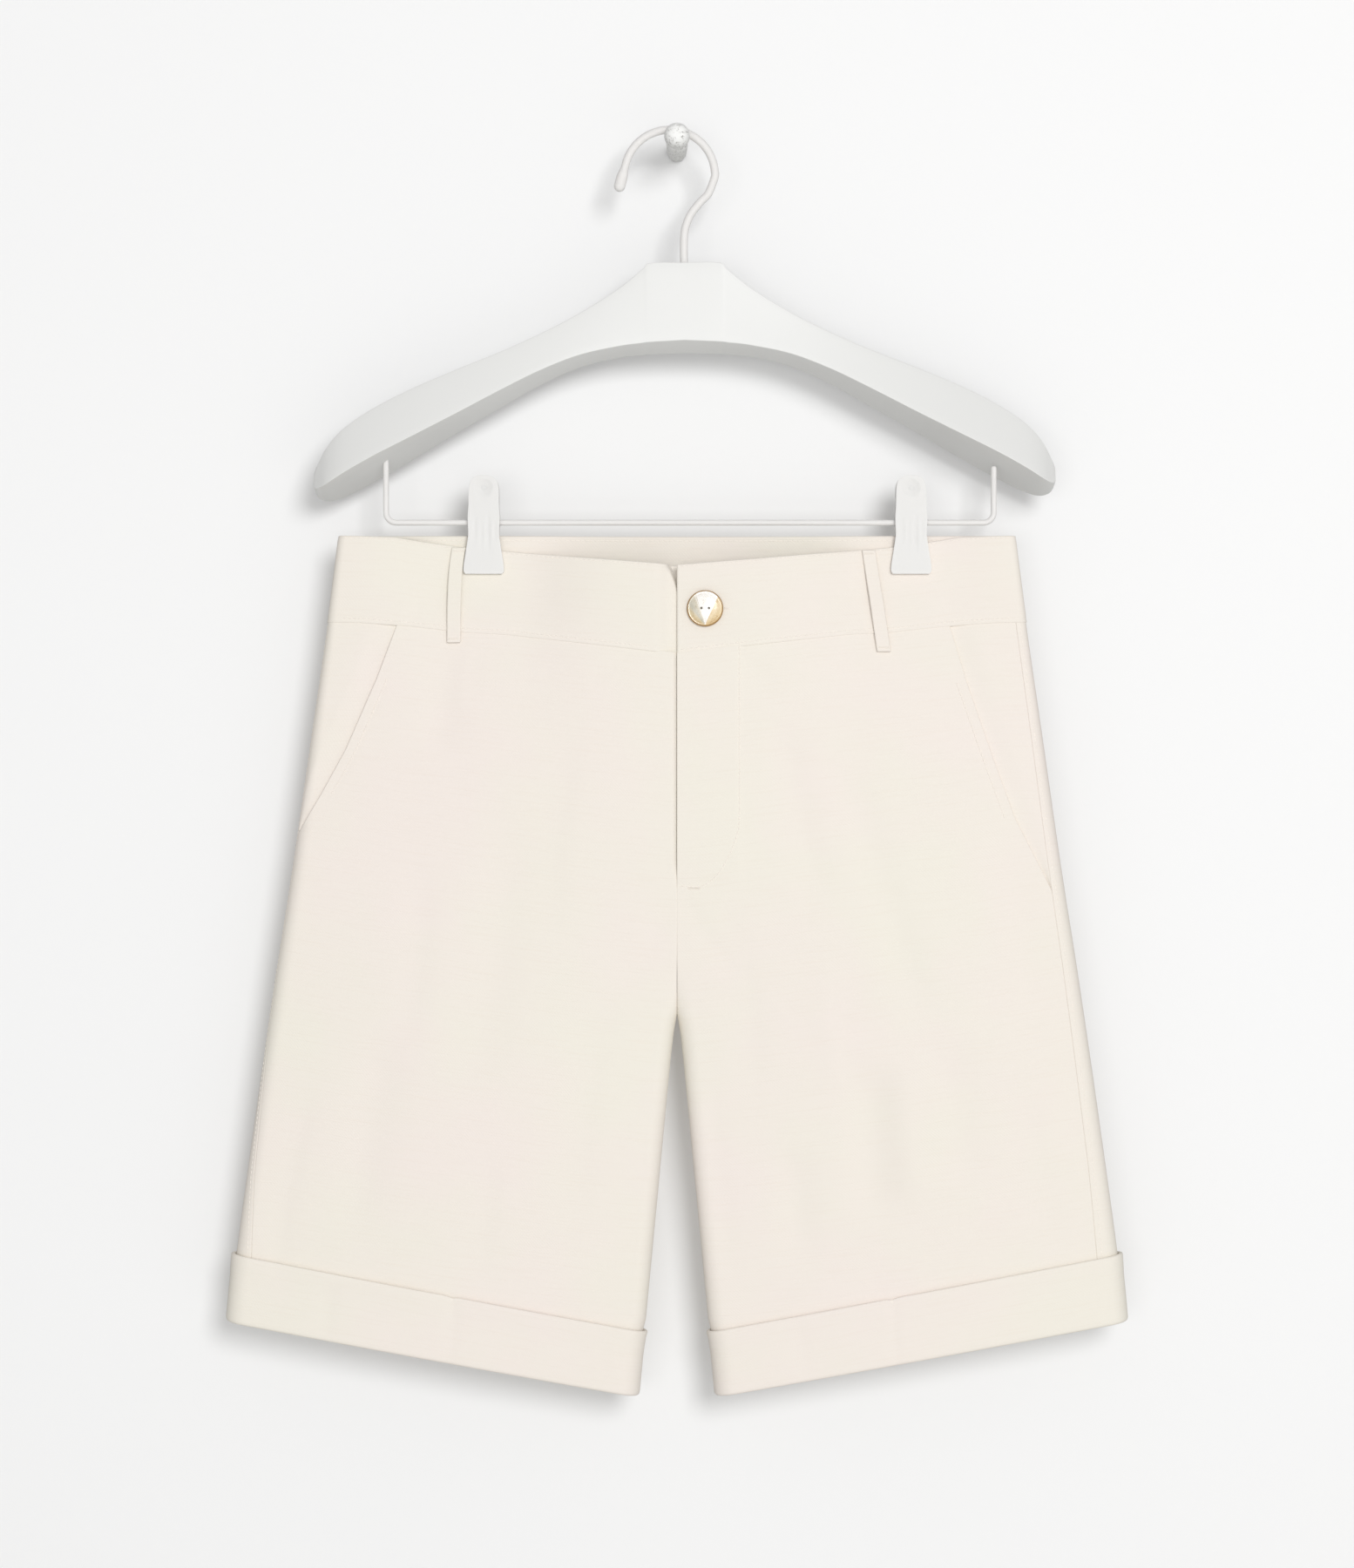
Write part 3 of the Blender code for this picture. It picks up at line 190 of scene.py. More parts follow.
# Creases: the ends of each, how far it bows sideways, its width, how much wider its far side is, and
# its height, which is negative for a trough.
Crease = namedtuple("Crease", "face x0 z0 x1 z1 bow width lean height")
CREASES = (
    Crease(FRONT, 110, -540, 114, -630, 0, 13, 1.0, -2.6),
    Crease(FRONT, 133, -535, 140, -625, 0, 12, 1.0, 2.0),
    Crease(FRONT, 157, -528, 166, -612, 0, 15, 1.0, -2.4),
    Crease(FRONT, 66, -590, 72, -655, 0, 11, 1.0, -1.8),
    Crease(FRONT, 58, -340, 82, -445, 0, 11, 1.0, -1.8),
    Crease(FRONT, 95, -362, 144, -520, 0, 12, 1.0, -2.0),
    Crease(FRONT, -129, -288, -140, -360, 0, 12, 1.0, -1.8),
    Crease(FRONT, -95, -400, -118, -560, 0, 16, 1.0, -1.6),
    Crease(FRONT, -170, -520, -190, -640, 0, 14, 1.0, -1.8),
    Crease(BACK, -70, -330, -60, -440, 0, 14, 1.0, -2.0),
    Crease(BACK, 80, -330, 66, -450, 0, 14, 1.0, -2.0),
    Crease(BACK, -150, -540, -165, -640, 0, 15, 1.0, -2.2),
    Crease(BACK, 120, -540, 130, -650, 0, 15, 1.0, -2.2),
    # Short ones at the waist: under the clips, beside the loops and at the pocket tops.
    Crease(FRONT, -109, -256, -93, -266, 1.5, 2.6, 1.6, -0.7),
    Crease(FRONT, -100, -262, -70, -276, -2.0, 4.0, 1.5, -0.5),
    Crease(FRONT, -141, -258, -156, -286, 1.5, 3.4, 1.7, -0.8),
    Crease(FRONT, -150, -262, -163, -279, -1.0, 3.0, 1.4, 0.6),
    Crease(FRONT, 87, -265, 107, -260, 0.6, 1.8, 2.2, -0.8),
    Crease(FRONT, 132, -256, 121, -274, 1.0, 3.2, 1.5, -0.6),
    Crease(FRONT, 148, -258, 165, -292, -2.0, 4.6, 1.4, -0.6),
    Crease(FRONT, -121, -290, -126, -335, 2.0, 5.0, 1.6, 0.7),
    Crease(FRONT, 30, -300, 62, -330, -2.0, 6.0, 1.5, -0.5),
    Crease(FRONT, -22, -300, -50, -318, 2.0, 5.0, 1.5, -0.45),
    # Long faint ones down the legs.
    Crease(FRONT, -60, -345, -72, -470, 5.0, 8.0, 1.7, -0.8),
    Crease(FRONT, -150, -420, -160, -530, -4.0, 8.0, 1.5, -0.8),
    Crease(FRONT, -40, -500, -58, -640, 5.0, 9.0, 1.6, -0.9),
    Crease(FRONT, -110, -590, -118, -668, -3.0, 7.0, 1.8, -0.8),
    Crease(FRONT, -215, -560, -233, -664, 3.0, 6.0, 1.5, -1.0),
    Crease(FRONT, 30, -450, 44, -560, -4.0, 8.0, 1.6, -0.8),
    Crease(FRONT, 88, -480, 96, -560, 4.0, 6.0, 1.5, 0.7),
    Crease(FRONT, 190, -400, 208, -520, -4.0, 8.0, 1.6, -0.8),
    Crease(FRONT, 205, -560, 222, -650, 3.0, 8.0, 1.5, -0.9),
    Crease(FRONT, 20, -540, 34, -668, 4.0, 7.0, 1.6, -0.8),
    Crease(FRONT, 4, -440, 34, -486, 3.0, 5.0, 1.6, -0.7),
    Crease(FRONT, -4, -444, -30, -492, -3.0, 5.0, 1.6, -0.7),
    # On the turned-up hems.
    Crease(FRONT, 127, -676, 129, -717, 0.5, 1.6, 2.4, -0.5),
    Crease(FRONT, 70, -688, 74, -722, -1.0, 4.0, 1.6, -0.5),
    Crease(FRONT, -128, -676, -131, -716, 1.0, 3.0, 1.8, -0.5),
    Crease(FRONT, -200, -666, -204, -700, 1.0, 4.0, 1.5, -0.5),
    Crease(FRONT, -36, -700, -34, -730, 0.8, 3.5, 1.6, 0.5),
    # The back, which hangs much the same.
    Crease(BACK, 20, -300, 60, -345, -3.0, 6.0, 1.6, -0.8),
    Crease(BACK, -24, -300, -66, -352, 3.0, 7.0, 1.5, -0.8),
    Crease(BACK, 4, -430, 40, -492, 4.0, 6.0, 1.6, -0.9),
    Crease(BACK, -4, -436, -36, -488, -4.0, 6.0, 1.6, -0.8),
    Crease(BACK, 120, -380, 134, -500, 5.0, 9.0, 1.5, -0.9),
    Crease(BACK, -126, -370, -146, -510, -5.0, 8.0, 1.7, -1.0),
    Crease(BACK, 60, -520, 64, -650, 4.0, 9.0, 1.5, -0.9),
    Crease(BACK, -80, -530, -92, -660, -4.0, 8.0, 1.6, -0.9),
    Crease(BACK, 190, -470, 208, -590, 3.0, 8.0, 1.5, -0.9),
    Crease(BACK, -200, -430, -212, -560, -3.0, 8.0, 1.5, -0.8),
    Crease(BACK, -150, -262, -168, -300, 2.0, 4.0, 1.6, -0.6),
    Crease(BACK, 150, -262, 166, -304, -2.0, 4.0, 1.6, -0.6),
)
CREASE_FADE, CREASE_REACH, CREASE_AT_FOLDS = 0.35, 0.3, 0.25


def smooth(share):
    """An even ease from 0 to 1."""
    share = np.clip(share, 0.0, 1.0)
    return share * share * (3 - 2 * share)


def row_at(level):
    """Sizes of the garment at a level, on a smooth curve through the rows of LEVELS."""
    level = np.asarray(level, float)
    index = np.clip(level.astype(int), 0, len(LEVELS) - 2)
    t = (level - index)[..., None]
    a, b = LEVELS[np.maximum(index - 1, 0)], LEVELS[index]
    c, d = LEVELS[index + 1], LEVELS[np.minimum(index + 2, len(LEVELS) - 1)]
    row = b + 0.5 * t * (c - a + t * (2 * a - 5 * b + 4 * c - d + t * (3 * (b - c) + d - a)))
    return Level(*np.moveaxis(row, -1, 0))


def inseam_x(centre_z):
    """Distance of the leg's inner edge from the middle of the garment."""
    below = np.maximum(CROTCH_Z - centre_z, 0.0)
    covered = smooth((CUFF_TOP_Z + CUFF_TUCK_ABOVE - centre_z) / CUFF_TUCK_OVER)
    start = INSEAM_START * (1 - np.exp(-below / INSEAM_ROUND))
    return INSEAM_SLOPE * below + start + CUFF_WALL * covered


def seat_closing(centre_z):
    """0 where the front and back are apart at the centre seam, 1 where they meet under the crotch."""
    share = np.clip((CROTCH_Z + SEAT_CURVE_HEIGHT - centre_z) / SEAT_CURVE_HEIGHT, 0.0, 1.0)
    return 1 - np.sqrt(1 - share * share)


def crease_height(face, x, z):
    """How far the creases raise or sink the cloth at a place on the front or back."""
    total = np.zeros(np.shape(x))
    for crease in CREASES:
        run_x, run_z = crease.x1 - crease.x0, crease.z1 - crease.z0
        length = math.hypot(run_x, run_z)
        along = ((x - crease.x0) * run_x + (z - crease.z0) * run_z) / length**2
        across = ((x - crease.x0) * run_z - (z - crease.z0) * run_x) / length
        across = across - crease.bow * 4 * along * (1 - along)
        width = np.where(across > 0, crease.width * crease.lean, crease.width)
        ends = smooth(along / CREASE_FADE + CREASE_REACH)
        ends = ends * smooth((1 - along) / CREASE_FADE + CREASE_REACH)
        height = crease.height * ends * np.exp(-((across / width) ** 2))
        total += np.where(face == crease.face, height, 0.0)
    return total


def across_at(turn, row, inner_x):
    """Distance from the middle of the garment, with how far the side and inner folds have rounded."""
    share = np.where(turn <= 1, turn, 2 - turn)
    flat = (share - FOLD_SHARE) / (1 - 2 * FOLD_SHARE)
    across = inner_x + row.fold + flat * (row.outer_x - inner_x - 2 * row.fold)
    side = np.clip((1 - share) / FOLD_SHARE, 0, 1) * math.pi / 2
    inner = np.clip(share / FOLD_SHARE, 0, 1) * math.pi / 2
    across = np.where(share > 1 - FOLD_SHARE, row.outer_x - row.fold * (1 - np.cos(side)), across)
    across = np.where(share < FOLD_SHARE, inner_x + row.fold * (1 - np.cos(inner)), across)
    return across, np.sin(side), np.sin(inner)


def form(side, turn, level):
    """Points of the cloth's outer face. Side is -1 for the left leg and 1 for the right one."""
    row = row_at(level)
    inner_x = inseam_x(row.centre_z)
    across, side_round, inner_round = across_at(turn, row, inner_x)
    x = side * across
    face = np.where(turn <= 1, FRONT, BACK)
    place = np.clip((across - inner_x) / (row.outer_x - inner_x), 0.0, 1.0)
    z = row.outer_z + (row.centre_z - row.outer_z) * (1 - place)
    seam_drop = np.interp(across, DROP_X, DROP_SEAM)
    top_drop = np.interp(across, DROP_X, DROP_TOP)
    on_band = top_drop + (seam_drop - top_drop) * level
    below_band = seam_drop * (1 - smooth((WAIST_SEAM_Z - row.outer_z) / DROP_FADES_OVER))
    z = z - np.where(face == FRONT, np.where(level < WAIST_SEAM, on_band, below_band), 0.0)
    inner_round = 1 + (inner_round - 1) * seat_closing(row.centre_z)
    leg = smooth((LEG_FORM_FROM - row.centre_z) / LEG_FORM_OVER)
    swell_shape = (1 - leg) * np.cos(math.pi / 2 * place) + leg * np.sin(math.pi * place)
    swell = np.where(face == FRONT, row.front_swell, row.back_swell) * swell_shape
    swell = swell + crease_height(face, x, z) * np.sin(math.pi * place) ** CREASE_AT_FOLDS
    beside = np.maximum(np.abs(x - np.where(side < 0, CLIP_X[-1], CLIP_X[1])) - HELD_WIDTH, 0.0)
    pinch = np.exp(-((beside / PINCH_SPREAD) ** 2)) * np.exp(-np.maximum(HELD_TO_Z - z, 0.0) / PINCH_FALL)
    depth = side_round * inner_round * ((row.fold + swell) * (1 - pinch) + HELD_HALF * pinch)
    return np.stack(np.broadcast_arrays(x, HANG_Y + face * depth, z), axis=-1)


def normal(side, turn, level):
    """Directions out of the form, from points close by on each side."""
    on_leg = row_at(level).centre_z <= CROTCH_Z
    before, after = turn - TURN_STEP, turn + TURN_STEP
    before = np.where(before < 0, np.where(on_leg, before + 2, 0.0), before)
    after = np.where(after > 2, np.where(on_leg, after - 2, 2.0), after)
    up, down = np.maximum(level - LEVEL_STEP, WAIST_TOP), np.minimum(level + LEVEL_STEP, HEM)
    along = form(side, after, level) - form(side, before, level)
    cross = np.cross(along, form(side, turn, down) - form(side, turn, up))
    cross = cross / np.linalg.norm(cross, axis=-1, keepdims=True)
    return cross * np.where(np.asarray(side) > 0, -1.0, 1.0)[..., None]


def turn_at(face, across, level):
    """The turn at which the cloth is this far from the middle of the garment."""
    row = row_at(level)
    inner_x = inseam_x(row.centre_z)
    flat = (across - inner_x - row.fold) / (row.outer_x - inner_x - 2 * row.fold)
    share = FOLD_SHARE + flat * (1 - 2 * FOLD_SHARE)
    quarter = FOLD_SHARE * 2 / math.pi
    at_side = 1 - quarter * np.arccos(np.clip(1 - (row.outer_x - across) / row.fold, 0, 1))
    at_inner = quarter * np.arccos(np.clip(1 - (across - inner_x) / row.fold, 0, 1))
    share = np.where(across > row.outer_x - row.fold, at_side, share)
    share = np.where(across < inner_x + row.fold, at_inner, share)
    return np.where(np.asarray(face) == FRONT, share, 2 - share)


def search(low, high, too_low):
    """Halves the span between low and high until too_low(middle) changes within it."""
    for _ in range(HALVINGS):
        middle = (low + high) / 2
        short = too_low(middle)
        low, high = np.where(short, middle, low), np.where(short, high, middle)
    return (low + high) / 2


def level_at(side, face, across, z):
    """The level at which the cloth, this far from the middle, is at this height."""
    start = np.zeros(np.shape(z))
    return search(start, start + HEM, lambda v: form(side, turn_at(face, across, v), v)[..., 2] > z)


def level_where(column, z):
    """The level at which a column of LEVELS, such as centre_z, has this height."""
    z = np.asarray(z, float)
    return search(np.zeros(z.shape), np.full(z.shape, float(HEM)), lambda v: getattr(row_at(v), column) > z)


def shares(count, length, edge=(0.12, 0.4, 0.9)):
    """Places from 0 to 1 along a length in mm, even but for a few close ones at the ends."""
    close = np.array(edge) / length
    inside = np.linspace(0, 1, count)[1:-1]
    inside = inside[(inside > close[-1]) & (inside < 1 - close[-1])]
    return np.concatenate(([0], close, inside, 1 - close[::-1], [1]))


def run_length(points, axis):
    """Distance along a grid of points, counted from its first row or column."""
    steps = np.linalg.norm(np.diff(points, axis=axis), axis=-1)
    start = np.zeros_like(np.take(steps, [0], axis=axis))
    return np.concatenate((start, np.cumsum(steps, axis=axis)), axis=axis)


def cloth_object(name, points, faces, uvs, material):
    """A mesh from points in mm, with a UV map in metres of cloth, riding on the garment."""
    mesh = bpy.data.meshes.new(name)
    mesh.from_pydata(points * MM, [], faces)
    shell = bmesh.new()
    shell.from_mesh(mesh)
    bmesh.ops.recalc_face_normals(shell, faces=shell.faces)
    shell.to_mesh(mesh)
    shell.free()
    mesh.shade_smooth()
    layer = mesh.uv_layers.new(name="cloth")
    corners = np.empty(len(mesh.loops), int)
    mesh.loops.foreach_get("vertex_index", corners)
    layer.data.foreach_set("uv", (uvs[corners] * MM).ravel())
    mesh.materials.append(material)
    piece = bpy.data.objects.new(name, mesh)
    bpy.context.collection.objects.link(piece)
    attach(piece, "root")
    return piece


def grid_faces(rows, columns, first=0):
    """The four-sided faces of a grid of points, whose first point has the number first."""
    start = np.arange(rows - 1)[:, None] * columns + np.arange(columns - 1)[None, :] + first
    return np.stack((start, start + 1, start + columns + 1, start + columns), axis=-1).reshape(-1, 4)


def shell_faces(rows, columns):
    """The faces of two grids of points, one behind the other, joined all round."""
    count = rows * columns
    behind = grid_faces(rows, columns, count)[:, ::-1]
    rim = list(range(columns)) + [r * columns + columns - 1 for r in range(1, rows)]
    rim += [(rows - 1) * columns + c for c in range(columns - 2, -1, -1)]
    rim += [r * columns for r in range(rows - 2, 0, -1)]
    rim = np.array(rim)
    after = np.roll(rim, -1)
    sides = np.stack((after, rim, rim + count, after + count), axis=-1)
    return np.concatenate((grid_faces(rows, columns), behind, sides)).tolist()


SOFT_RIM, PRESSED_RIM, SEWN_IN = 0.48, 0.3, 9.0


def cloth_shell(name, side, turn, level, lift, wall, square_top=False, soften=SOFT_RIM):
    """A sheet of cloth over the form. Lift is how far its outer face stands off. Its rim is rounded,
    by a share of its wall, except for a top edge that is sewn in under another piece."""
    base, out = form(side, turn, level), normal(side, turn, level)
    across, down = run_length(base, 1), run_length(base, 0)
    from_top = down + SEWN_IN if square_top else down
    to_side = np.minimum(across, across[:, -1:] - across)
    to_rim = np.minimum(to_side, np.minimum(from_top, down[-1:, :] - down))
    radius = wall * soften
    inset = radius - np.minimum(to_rim, radius)
    drop = (radius - np.sqrt(radius**2 - inset**2))[..., None]
    lift = np.broadcast_to(lift, turn.shape)[..., None]
    outer, inner = base + out * (lift - drop), base + out * (lift - wall + drop)
    points = np.concatenate((outer.reshape(-1, 3), inner.reshape(-1, 3)))
    uvs = np.stack((across, -down), axis=-1).reshape(-1, 2)
    faces = shell_faces(*turn.shape)
    return cloth_object(name, points, faces, np.concatenate((uvs, uvs)), cotton)


# Slightly uneven yarns: the slubs run across the legs, and the dye lies a little warmer in places. The
# real yarns are 0.4 mm apart, which is too fine to show, so the weave is drawn at 0.9 mm. A slub is
# about 33 mm long and 1.1 mm across, and the dye's patches are some 110 mm wide.
YARN_PITCH, SLUB_LENGTH, SLUB_WIDTH, DYE_PATCH = 0.9 * MM, 33.3 * MM, 1.11 * MM, 111 * MM
cotton, shader = new_material("cream_cotton_linen_plain_weave_washed", "#EEE7DE", 0.92)
shader.inputs["Sheen Weight"].default_value = 0.12
shader.inputs["Sheen Roughness"].default_value = 0.5
shader.inputs["Specular IOR Level"].default_value = 0.25
place = add_node(cotton, "ShaderNodeTexCoord")
cloth_uv = add_node(cotton, "ShaderNodeUVMap", {"uv_map": "cloth"})
tone = add_node(
    cotton,
    "ShaderNodeTexNoise",
    {},
    {"Vector": place.outputs["Object"], "Scale": 1 / DYE_PATCH, "Detail": 3.0, "Roughness": 0.55},
)
dye = add_node(cotton, "ShaderNodeValToRGB", {}, {"Fac": tone.outputs["Fac"]})
dye.color_ramp.elements[0].position = 0.34
dye.color_ramp.elements[0].color = (*linear("#EDE8DD"), 1)
dye.color_ramp.elements[1].position = 0.66
dye.color_ramp.elements[1].color = (*linear("#EFE6DF"), 1)
long_yarns = add_node(
    cotton,
    "ShaderNodeMapping",
    {},
    {"Vector": cloth_uv.outputs["UV"], "Scale": (1 / SLUB_LENGTH, 1 / SLUB_WIDTH, 1.0)},
)
slub = add_node(
    cotton, "ShaderNodeTexNoise", {}, {"Vector": long_yarns.outputs["Vector"], "Scale": 1.0, "Detail": 2.0}
)
thick = add_node(
    cotton, "ShaderNodeMapRange", {}, {"Value": slub.outputs["Fac"], "From Min": 0.5, "From Max": 0.75}
)
pale = add_node(cotton, "ShaderNodeMix", {"data_type": "RGBA", "blend_type": "MULTIPLY"})
cotton.node_tree.links.new(thick.outputs["Result"], pale.inputs["Factor"])
cotton.node_tree.links.new(dye.outputs["Color"], pale.inputs["A"])
pale.inputs["B"].default_value = (*linear("#FEFDFC"), 1)
cotton.node_tree.links.new(pale.outputs["Result"], shader.inputs["Base Color"])
parts = add_node(cotton, "ShaderNodeSeparateXYZ", {}, {"Vector": cloth_uv.outputs["UV"]})
waves = []
for axis in ("X", "Y"):
    turned = add_node(
        cotton, "ShaderNodeMath", {"operation": "MULTIPLY"}, {0: parts.outputs[axis], 1: math.pi / YARN_PITCH}
    )
    waves.append(add_node(cotton, "ShaderNodeMath", {"operation": "SINE"}, {0: turned.outputs[0]}))
weave = add_node(
    cotton, "ShaderNodeMath", {"operation": "MULTIPLY"}, {0: waves[0].outputs[0], 1: waves[1].outputs[0]}
)
yarn_bump = add_node(
    cotton, "ShaderNodeBump", {}, {"Height": weave.outputs[0], "Strength": 0.25, "Distance": 0.00005}
)
slub_bump = add_node(
    cotton,
    "ShaderNodeBump",
    {},
    {
        "Height": thick.outputs["Result"],
        "Strength": 0.35,
        "Distance": 0.0001,
        "Normal": yarn_bump.outputs["Normal"],
    },
)
cotton.node_tree.links.new(slub_bump.outputs["Normal"], shader.inputs["Normal"])


# ------------------------------------------------------------------------------------- front panels
# Two fronts cut in one piece each, with slant pocket mouths. The right one laps over the left at the
# fly. The lap's curved stitching and the stitching beside the pocket mouths press shallow grooves.

POCKETS = {
    -1: ((-408.6, -383, -357, -315, -280), (223, 207.6, 193.3, 175, 162)),
    1: ((-440, -397, -363, -317, -280), (219, 197, 184.6, 168.8, 158)),
}
SIDE_SEAMS = {
    -1: ((-700, -606, -520, -282), (15.0, 5.0, 1.0, 0.5)),
    1: ((-700, -600, -440, -282), (15.0, 11.0, 8.4, 6.4)),
}
FLY_PROUD, FLY_WIDTH, FLY_SIDE_OVER = 0.9, 40.0, 6.0
FLY_BOTTOM_Z, FLY_FOOT_OVER, FLY_SINK, FLY_SINK_WIDTH = -440.0, 20.0, 1.3, 1.6
FLY_STITCH = (
    (36.2, -291),
    (36.2, -345),
    (36.2, -395),
    (34.6, -407),
    (30.9, -417),
    (25.5, -427),
    (19.5, -433.5),
    (12.0, -436.8),
    (1.0, -436.0),
)
HIDDEN_HEM = 1.9
PANEL_LENGTH, FRONT_WIDTH = 450.0, 215.0


def curve_through(points, step=0.7):
    """Closely spaced (x, z) points on a smooth curve through the given ones."""
    given = np.array(points, float)
    padded = np.concatenate((given[:1], given, given[-1:]))
    traced = []
    for a, b, c, d in zip(padded, padded[1:], padded[2:], padded[3:]):
        count = max(int(np.linalg.norm(c - b) / step), 1)
        t = np.arange(count)[:, None] / count
        traced.append(b + 0.5 * t * (c - a + t * (2 * a - 5 * b + 4 * c - d + t * (3 * (b - c) + d - a))))
    return np.concatenate((*traced, given[-1:]))


FLY_GROOVE, MOUTH_GROOVE, GROOVE_WIDTH = 0.28, 0.2, 0.9


def groove(points, path, depth):
    """How far stitching along a path presses the cloth in, at each point."""
    pressed = np.zeros(points.shape[:-1])
    low, high = path.min(axis=0) - 4, path.max(axis=0) + 4
    x, z = points[..., 0], points[..., 2]
    near = (x > low[0]) & (x < high[0]) & (z > low[1]) & (z < high[1])
    spots = np.stack((x[near], z[near]), axis=-1)
    if len(spots):
        away = np.min(np.linalg.norm(spots[:, None, :] - path[None, :, :], axis=-1), axis=1)
        pressed[near] = -depth * np.exp(-((away / GROOVE_WIDTH) ** 2))
    return pressed


def side_seam_turn(side, level):
    """Where the side seam crosses each level, a little in front of the side fold."""
    row = row_at(level)
    return turn_at(FRONT, row.outer_x - np.interp(row.outer_z, *SIDE_SEAMS[side]), level)


def pocket_turn(side, level):
    """Where the slant pocket mouth crosses each level; 2 below its foot."""
    z = row_at(level).outer_z
    low = z < POCKETS[side][0][0]
    for _ in range(8):
        turn = turn_at(FRONT, np.interp(z, *POCKETS[side]), level)
        z = form(side, turn, level)[..., 2]
    return np.where(low, 2.0, turn)


def fly_lift(points):
    """How far the right front stands off where it laps over the fly's layers."""
    side_step = smooth((FLY_WIDTH - points[..., 0]) / FLY_SIDE_OVER)
    return FLY_PROUD * side_step * smooth((points[..., 2] - FLY_BOTTOM_Z) / FLY_FOOT_OVER)


def panel_levels(count):
    """Levels of a panel, from under the band to just above the turned-up hem's fold."""
    hem = level_where("centre_z", HEM_Z + HIDDEN_HEM)
    return PANEL_TOP + (hem - PANEL_TOP) * shares(count, PANEL_LENGTH)


def front_end(side, level):
    """The outer edge of a front: its pocket mouth, and the side seam below that."""
    return np.minimum(side_seam_turn(side, level), pocket_turn(side, level))


fly_path = curve_through(FLY_STITCH)
MOUTH_STITCH_IN = 6.0
mouth_paths = {}
for side in (-1, 1):
    heights, widths = POCKETS[side]
    inward = [(side * (w - MOUTH_STITCH_IN), z) for z, w in zip(heights[1:-1], widths[1:-1])]
    mouth_paths[side] = curve_through(inward)

FRONT_ROWS, FRONT_COLUMNS = 210, 124
for side, name in ((-1, "left"), (1, "right")):
    levels = panel_levels(FRONT_ROWS)
    turns = front_end(side, levels)[:, None] * shares(FRONT_COLUMNS, FRONT_WIDTH)[None, :]
    level = np.broadcast_to(levels[:, None], turns.shape)
    points = form(side, turns, level)
    lift = groove(points, mouth_paths[side], MOUTH_GROOVE)
    if side > 0:
        lift = lift + fly_lift(points) + groove(points, fly_path, FLY_GROOVE)
    else:
        above = smooth((points[..., 2] - FLY_BOTTOM_Z) / FLY_FOOT_OVER)
        lift = lift - FLY_SINK * above * np.exp(-((points[..., 0] / FLY_SINK_WIDTH) ** 2))
    panel = cloth_shell(f"front_{name}_cloth", side, turns, level, lift, PANEL_WALL, True, PRESSED_RIM)
    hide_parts(f"front_panel_{name}")


# -------------------------------------------------------------------------------------- back panels
# Two plain backs of the same cloth, joined down the middle. They wrap round the side folds to meet the
# fronts.

BACK_ROWS, BACK_COLUMNS, BACK_WIDTH = 160, 110, 240.0
for side, name in ((-1, "left"), (1, "right")):
    levels = panel_levels(BACK_ROWS)
    start = side_seam_turn(side, levels)[:, None]
    turns = start + (2 - start) * shares(BACK_COLUMNS, BACK_WIDTH)[None, :]
    level = np.broadcast_to(levels[:, None], turns.shape)
    panel = cloth_shell(f"back_{name}_cloth", side, turns, level, 0.0, PANEL_WALL, True, PRESSED_RIM)
    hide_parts(f"back_panel_{name}")


# ----------------------------------------------------------------------- pocket facings and underlap
# The hip pieces, of the same cloth, that show outside the pocket mouths and run on behind the fronts,
# and the plain piece behind the fly.

FACING_UNDERLAP = 22.0
FACING_DEPTH = {-1: PANEL_WALL + 0.8, 1: PANEL_WALL + 0.2}
FACING_BELOW, FACING_INSIDE = 12.0, 20.0
FACING_RISE_OVER, FACING_HELD_LEVELS = 14.0, 1 / 7
FACING_LENGTH, FACING_WIDTH = 150.0, 60.0
for side, name in ((-1, "left"), (1, "right")):
    foot_z = POCKETS[side][0][0]
    inside = LEVELS[POCKET_FOOT][2] - FACING_INSIDE
    bottom = level_at(side, FRONT, inside, foot_z - FACING_BELOW)
    levels = PANEL_TOP + (bottom - PANEL_TOP) * shares(90, FACING_LENGTH)
    end = side_seam_turn(side, levels)
    mouth = np.minimum(pocket_turn(side, levels), end)
    width = row_at(levels).outer_x
    rise_over = np.clip((end - mouth) * width, 0.2, FACING_RISE_OVER)
    start = mouth - FACING_UNDERLAP / width
    turns = start[:, None] + (end - start)[:, None] * shares(50, FACING_WIDTH)[None, :]
    level = np.broadcast_to(levels[:, None], turns.shape)
    rise = smooth((turns - mouth[:, None]) * width[:, None] / rise_over[:, None])
    held = np.exp(-(((levels - PANEL_TOP) / FACING_HELD_LEVELS) ** 2))[:, None]
    depth = -(FACING_DEPTH[side] + (PANEL_WALL - FACING_DEPTH[side]) * held) * (1 - rise)
    facing = cloth_shell(f"facing_{name}_cloth", side, turns, level, depth, PANEL_WALL, True, PRESSED_RIM)
    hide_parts(f"pocket_facing_{name}")

UNDERLAP_LEFT, UNDERLAP_RIGHT, UNDERLAP_FOOT = 10.0, 31.0, 8.0
UNDERLAP_WIDTH = UNDERLAP_LEFT + UNDERLAP_RIGHT
bottom = level_at(1, FRONT, UNDERLAP_LEFT / 2, FLY_BOTTOM_Z + UNDERLAP_FOOT)
levels = PANEL_TOP + (bottom - PANEL_TOP) * shares(70, FACING_LENGTH)
signed = -UNDERLAP_LEFT + UNDERLAP_WIDTH * shares(24, UNDERLAP_WIDTH)[None, :]
signed = np.broadcast_to(signed, (len(levels), signed.shape[1]))
level = np.broadcast_to(levels[:, None], signed.shape)
sides = np.where(signed < 0, -1, 1)
turns = turn_at(FRONT, np.abs(signed), level)
underlap = cloth_shell("fly_underlap_cloth", sides, turns, level, -PANEL_WALL - GAP, PANEL_WALL)
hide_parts("fly_underlap")


